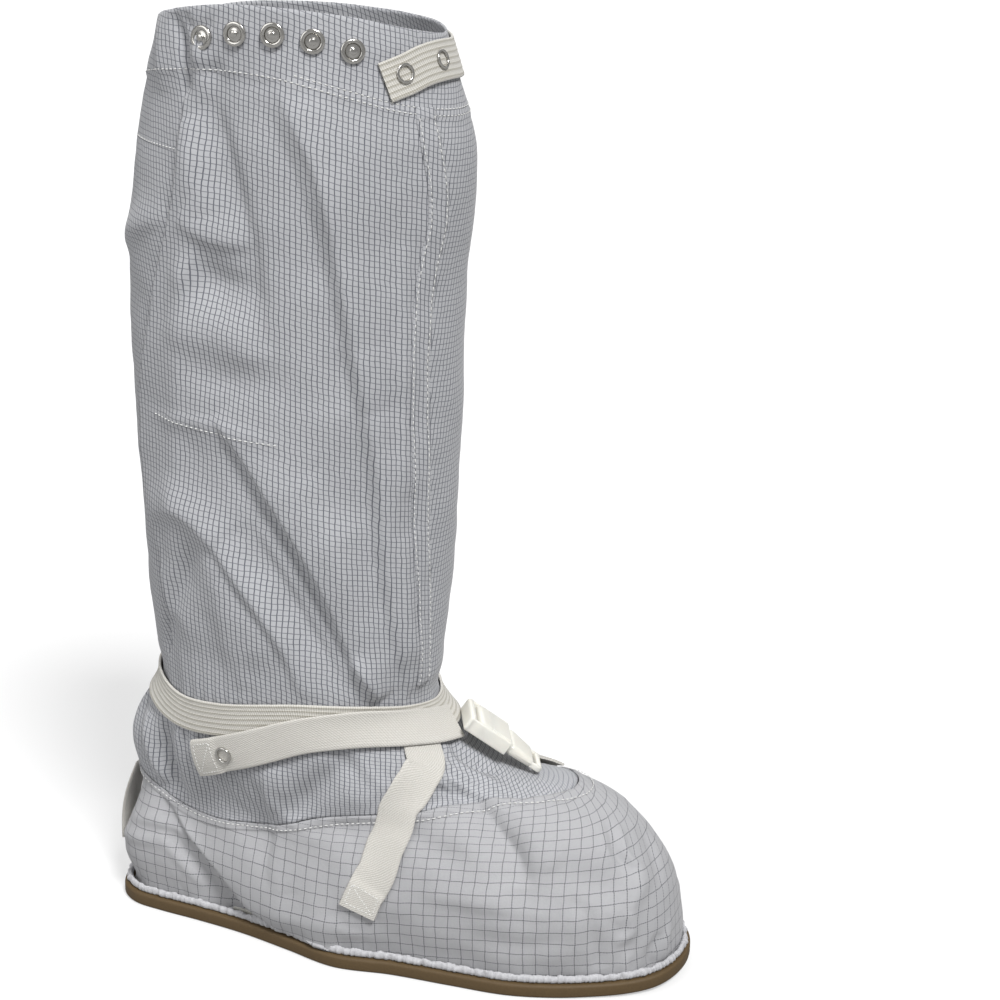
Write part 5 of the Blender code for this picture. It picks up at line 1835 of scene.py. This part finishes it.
@dataclass(frozen=True)
class HeelLoop:
    """Webbing loop that spans the hollow over the heel."""

    top: Spot = Spot(0.0, 5.75)
    foot: Spot = Spot(0.0, 2.05)
    bulge: float = 0.003
    columns: int = 36
    rows: int = 30
    middle_share: float = 0.22
    around_mm: float = 40.0
    length_mm: float = 45.0

    def place(self, across: Numbers, along: Numbers) -> Numbers:
        """Points of the loop's skin."""
        top = LAST.skin(self.top.turn, self.top.level, STRAP_GAP)
        foot = LAST.skin(self.foot.turn, self.foot.level, STRAP_GAP)
        band = Strap("loop", "loop", (), WEBBING_WIDTH, WEBBING_THICKNESS, 0.0)
        offset, height = band.section(across)
        middle = top + (foot - top) * along[:, None]
        middle[:, 0] -= self.bulge * np.sin(math.pi * along)
        run = foot - top
        tilt = -run[0] + self.bulge * math.pi * np.cos(math.pi * along)
        out = np.stack([np.full_like(along, run[2]), np.zeros_like(along), tilt], axis=-1)
        out /= np.linalg.norm(out, axis=-1, keepdims=True)
        out *= np.sign(-out[:, :1])
        side = np.array([0.0, -1.0, 0.0])
        return middle + out * height[:, None] + side * offset[:, None]

    def pattern(self, across: Numbers, along: Numbers, middle: Numbers) -> Numbers:
        """Flat pattern of the loop in mm."""
        sideways = (across - self.middle_share) * self.around_mm
        return np.stack([sideways, along * self.length_mm], axis=-1)

    def build(self) -> None:
        """Build the loop."""
        shape = Weft(self.columns, self.rows, self.place, self.pattern, close_across=True).shape()
        close_ends(shape)
        add_piece(shape, "pull_loop", FINISHES.webbing, ["heel_loop"], smooth=60.0)


@dataclass(frozen=True)
class Placket:
    """Felled seam down the front of the shaft, with its two rows of stitches."""

    width_turn: float = 0.028
    thickness: float = 0.0008
    stitch_pitch: float = 0.0031
    stitch_radius: float = 0.00028
    stitch_shares: tuple[float, float] = (0.12, 0.88)
    line_steps: int = 700
    columns: int = 8
    rows: int = 190
    over_ankle: float = 0.75
    under_hem: float = 0.05
    edge_share: float = 0.45
    edge_width: float = 0.12

    def spot(self, across: Numbers, along: Numbers) -> tuple[Numbers, Numbers]:
        """Turn and level of a share of the strip."""
        low = LAST.ankle_level + self.over_ankle
        level = low + along * (LAST.hem_level - self.under_hem - low)
        return turn_on(FRONT_EDGE, level) - self.width_turn * (1.0 - across), level

    def place(self, across: Numbers, along: Numbers) -> Numbers:
        """Points of the strip's outer face, soft at both edges."""
        turn, level = self.spot(across, along)
        edge = np.minimum(across, 1.0 - across)
        full = smooth_step(edge, 0.0, self.edge_width)
        share = self.edge_share + (1.0 - self.edge_share) * full
        return cloth_face(turn, level, self.thickness * share)

    def pattern(self, across: Numbers, along: Numbers, middle: Numbers) -> Numbers:
        """Flat pattern of the strip, in line with the outer panel's."""
        turn, level = self.spot(across, along)
        return np.stack([CHART.round(turn, level, turn), CHART.height(turn, level)], axis=-1)

    def build(self) -> None:
        """Build the strip and its stitches."""
        shape = Weft(self.columns, self.rows, self.place, self.pattern).shape()
        item = add_piece(shape, "front_seam_strip", FINISHES.shaft_cloth, ["front_placket"])
        thicken(item, 0.5 * self.thickness)
        threads = bmesh.new()
        along = np.linspace(0.01, 0.99, self.line_steps)
        for share in self.stitch_shares:
            turn, level = self.spot(np.full_like(along, share), along)
            line = cloth_face(turn, level, self.thickness + 0.6 * self.stitch_radius)
            sew(threads, line, self.stitch_pitch, self.stitch_radius)
        add_piece(threads, "front_seam_thread", FINISHES.thread)


PANEL_ROWS = (
    (Spot(0.055, 16.82), Spot(0.166, 16.80)),
    (Spot(0.140, 13.31), Spot(0.285, 13.20)),
)


@dataclass(frozen=True)
class Stitching:
    """Rows of stitches on hem, seam, panels and the ends of the straps.

    Rows lie so many levels over the hem's seam or under the foot's.
    """

    pitch: float = 0.0028
    radius: float = 0.0003
    hem_row: float = 0.06
    second_hem_row: float = 0.17
    second_from: float = 0.29
    second_to: float = 0.60
    seam_row: float = 0.28
    round_steps: int = 1400
    panel_steps: int = 120
    box_steps: int = 40
    box_pitch: float = 0.0021
    box_radius: float = 0.00026
    box_fill: float = 0.8
    box_half: float = 0.38
    box_start: float = 0.002
    box_end: float = 0.0022

    def sew_row(self, shape: Shape, turn: Numbers, level: Numbers, lift: float = 0.0) -> None:
        """Add a row of stitches on the cloth to a shape, at a lift of the cloth's own edge."""
        sew(shape, cloth_face(turn, level, lift + 0.5 * self.radius), self.pitch, self.radius)

    def build(self) -> None:
        """Sew the rows of hem, foot seam, panels and straps."""
        turns = np.linspace(0.0, 1.0, self.round_steps)
        hem = bmesh.new()
        self.sew_row(hem, turns, LAST.hem_at(turns) + self.hem_row)
        front = turns[(turns > self.second_from) & (turns < self.second_to)]
        self.sew_row(hem, front, LAST.hem_at(front) + self.second_hem_row)
        add_piece(hem, "hem_thread", FINISHES.thread)
        seam = bmesh.new()
        level = LAST.follow_seam(turns, np.full_like(turns, LAST.seam_level - self.seam_row))
        self.sew_row(seam, turns, level, RELIEF.seam_fold)
        add_piece(seam, "foot_seam_thread", FINISHES.thread)
        rows = bmesh.new()
        for start, end in PANEL_ROWS:
            turn, level = np.linspace(start, end, self.panel_steps).T
            self.sew_row(rows, turn, level)
        add_piece(rows, "panel_thread", FINISHES.thread)
        boxes = bmesh.new()
        for strap in STRAPS:
            if strap.fold_end:
                self.box(boxes, strap)
        add_piece(boxes, "strap_thread", FINISHES.thread)

    def box(self, shape: Shape, strap: Strap) -> None:
        """Add a crossed box of stitches on the folded end of a strap to a shape."""
        side = self.box_half * strap.width
        first = strap.line.length - strap.fold_end + self.box_start
        last = strap.line.length - self.box_end
        corners = ((first, -side), (first, side), (last, side), (last, -side), (first, -side), (last, side))
        height = np.full(self.box_steps, (1.0 + strap.doubling) * strap.thickness)
        for start, end in zip(corners, corners[1:]):
            run, across = np.linspace(start, end, self.box_steps).T
            line = strap.point(run, across, height)
            sew(shape, line, self.box_pitch, self.box_radius, self.box_fill)


class Block(NamedTuple):
    """A moulded block of the buckle: its two corners and its rounding, in metres.

    X runs from socket to plug and Z outwards. Narrower and lower are the shares of width and
    height that are left at its far end. A block beside the middle line is made on both sides.
    """

    near: float
    far: float
    inner: float
    outer: float
    foot: float
    top: float
    rounding: float
    narrower: float = 1.0
    lower: float = 1.0


SOCKET_BLOCKS = (
    Block(-0.0235, -0.0195, -0.0130, 0.0130, 0.0000, 0.0085, 0.0019),
    Block(-0.0178, -0.0060, -0.0130, 0.0130, 0.0000, 0.0088, 0.0030, 0.94, 0.92),
    Block(-0.0222, 0.0018, 0.0112, 0.0130, 0.0004, 0.0080, 0.00085),
    Block(-0.0105, 0.0018, -0.0105, 0.0105, 0.0000, 0.0018, 0.0007),
    Block(-0.0105, 0.0018, -0.0118, 0.0118, 0.0067, 0.0085, 0.00085, 0.90, 0.8),
)
PLUG_BLOCKS = (
    Block(0.0025, 0.0185, -0.0112, 0.0112, 0.0009, 0.0074, 0.0024, 0.84, 0.66),
    Block(0.0203, 0.0235, -0.0092, 0.0092, 0.0009, 0.0048, 0.0015),
    Block(0.0165, 0.0228, 0.0070, 0.0093, 0.0012, 0.0045, 0.0009),
    Block(-0.0085, 0.0040, 0.0080, 0.0107, 0.0024, 0.0062, 0.0008),
)


@dataclass(frozen=True)
class Buckle:
    """White side-release buckle, fastened: a socket with its plug pushed home."""

    bevel_segments: int = 5

    def placing(self) -> Matrix:
        """Placing of the buckle, read from its solids: X from socket to plug, Z outwards."""
        clouds = []
        for node in ("buckle_socket", "buckle_plug"):
            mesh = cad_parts[node].data
            cloud = np.empty(3 * len(mesh.vertices))
            mesh.vertices.foreach_get("co", cloud)
            clouds.append(cloud.reshape(-1, 3))
        points = np.vstack(clouds)
        centre = points.mean(axis=0)
        _, _, axes = np.linalg.svd(points - centre)
        ahead = axes[0] * np.sign(axes[0] @ (clouds[1].mean(axis=0) - clouds[0].mean(axis=0)))
        outward = axes[2] * np.sign(axes[2][2])
        side = np.cross(outward, ahead)
        local = (points - centre) @ np.stack([ahead, side, outward], axis=1)
        middle = (local.min(axis=0) + local.max(axis=0)) / 2.0
        origin = centre + middle[0] * ahead + middle[1] * side + local[:, 2].min() * outward
        turned = Matrix((ahead, side, outward)).transposed().to_4x4()
        return Matrix.Translation(Vector(origin)) @ turned

    def add_block(self, shape: Shape, block: Block, low: float, high: float) -> None:
        """Add a block with rounded edges to a shape.

        Args:
            shape: the shape that takes the block.
            block: the block.
            low: where its side begins, across the buckle.
            high: where its side ends.
        """
        size = (block.far - block.near, high - low, block.top - block.foot)
        centre = ((block.far + block.near) / 2.0, (high + low) / 2.0, (block.top + block.foot) / 2.0)
        placing = Matrix.Translation(centre) @ Matrix.Diagonal((*size, 1.0))
        made = bmesh.ops.create_cube(shape, size=1.0, matrix=placing)
        for vert in made["verts"]:
            if vert.co.x > centre[0]:
                vert.co.y *= block.narrower
                vert.co.z = block.foot + (vert.co.z - block.foot) * block.lower
        edges = list({edge for vert in made["verts"] for edge in vert.link_edges})
        bmesh.ops.bevel(
            shape, geom=edges, offset=block.rounding, segments=self.bevel_segments,
            affect="EDGES", profile=0.5, material=-1,
        )

    def half(self, blocks: Sequence[Block], name: str, node: str, placing: Matrix) -> None:
        """Build one half of the buckle, which stands for one solid."""
        shape = bmesh.new()
        for block in blocks:
            if block.inner > 0.0:
                self.add_block(shape, block, -block.outer, -block.inner)
            self.add_block(shape, block, block.inner, block.outer)
        bmesh.ops.transform(shape, matrix=placing, verts=shape.verts)
        add_piece(shape, name, FINISHES.plastic, [node], smooth=40.0)

    def build(self) -> None:
        """Build socket and plug."""
        placing = self.placing()
        self.half(SOCKET_BLOCKS, "socket_body", "buckle_socket", placing)
        self.half(PLUG_BLOCKS, "plug_body", "buckle_plug", placing)


@dataclass(frozen=True)
class Studio:
    """Camera at the photograph's angle, a pale floor and soft light."""

    position: tuple[float, float, float] = (0.43148, -1.04054, 0.59782)
    target: tuple[float, float, float] = (0.10208, 0.0, 0.23550)
    roll: float = 1.66
    lens: float = 85.886
    floor_size: float = 30.0

    def camera(self) -> None:
        """Set the camera."""
        data = bpy.data.cameras.new("camera")
        data.lens = self.lens
        data.sensor_width = 36.0
        item = bpy.data.objects.new("camera", data)
        ahead = (Vector(self.target) - Vector(self.position)).normalized()
        right = ahead.cross(Vector((0.0, 0.0, 1.0))).normalized()
        up = right.cross(ahead)
        roll = math.radians(self.roll)
        turned_right = right * math.cos(roll) + up * math.sin(roll)
        turned_up = up * math.cos(roll) - right * math.sin(roll)
        turned = Matrix((turned_right, turned_up, -ahead)).transposed().to_4x4()
        item.matrix_world = Matrix.Translation(self.position) @ turned
        bpy.context.scene.collection.objects.link(item)
        bpy.context.scene.camera = item

    def light(self, name: str, heading: Sequence[float], spread: float, strength: float) -> None:
        """Add a broad, even light that shines from a heading, its spread in degrees."""
        data = bpy.data.lights.new(name, "SUN")
        data.angle = math.radians(spread)
        data.energy = strength
        item = bpy.data.objects.new(name, data)
        turned = Vector(heading).to_track_quat("Z", "Y").to_matrix().to_4x4()
        item.matrix_world = Matrix.Translation(heading) @ turned
        bpy.context.scene.collection.objects.link(item)

    def build(self) -> None:
        """Set camera, lights, sky and floor."""
        self.camera()
        self.light("key", (0.60, -0.65, 1.15), 16.0, 3.2)
        self.light("fill", (-0.80, -1.0, 0.7), 45.0, 0.85)
        self.light("back", (-0.35, 1.0, 0.8), 50.0, 0.8)
        world = bpy.data.worlds.new("studio")
        world.use_nodes = True
        world.node_tree.nodes["Background"].inputs["Color"].default_value = (1.0, 1.0, 1.0, 1.0)
        world.node_tree.nodes["Background"].inputs["Strength"].default_value = 0.35
        bpy.context.scene.world = world
        bpy.context.scene.view_settings.view_transform = "Standard"
        shape = bmesh.new()
        bmesh.ops.create_grid(shape, x_segments=1, y_segments=1, size=self.floor_size / 2.0)
        mesh = bpy.data.meshes.new("floor")
        shape.to_mesh(mesh)
        shape.free()
        material = bpy.data.materials.new("matt_white_paper")
        material.use_nodes = True
        tree = material.node_tree
        shader = tree.nodes["Principled BSDF"]
        shader.inputs["Roughness"].default_value = 0.9
        shader.inputs["Emission Color"].default_value = (1.0, 1.0, 1.0, 1.0)
        seen = add_node(tree, "ShaderNodeLightPath").outputs["Is Camera Ray"]
        glow = add_node(tree, "ShaderNodeMath", {"operation": "MULTIPLY"}, in_0=seen, in_1=0.5)
        tree.links.new(glow.outputs[0], shader.inputs["Emission Strength"])
        shade = add_node(
            tree, "ShaderNodeMix", {"data_type": "RGBA"},
            in_0=seen, in_6=(0.34, 0.34, 0.34, 1.0), in_7=(0.42, 0.42, 0.42, 1.0),
        )
        tree.links.new(shade.outputs[2], shader.inputs["Base Color"])
        mesh.materials.append(material)
        floor = bpy.data.objects.new("floor", mesh)
        bpy.context.scene.collection.objects.link(floor)


def main() -> None:
    """Build the boot and its studio."""
    logging.basicConfig(level=logging.INFO, format="%(name)s: %(message)s")
    Studio().build()
    for part in (Sole(), Insole(), Binding(), Foot(), Shaft(), Placket(), Stitching()):
        part.build()
    for strap in STRAPS:
        strap.build()
    HeelLoop().build()
    Snaps().build()
    Buckle().build()


if __name__ == "__main__":
    main()
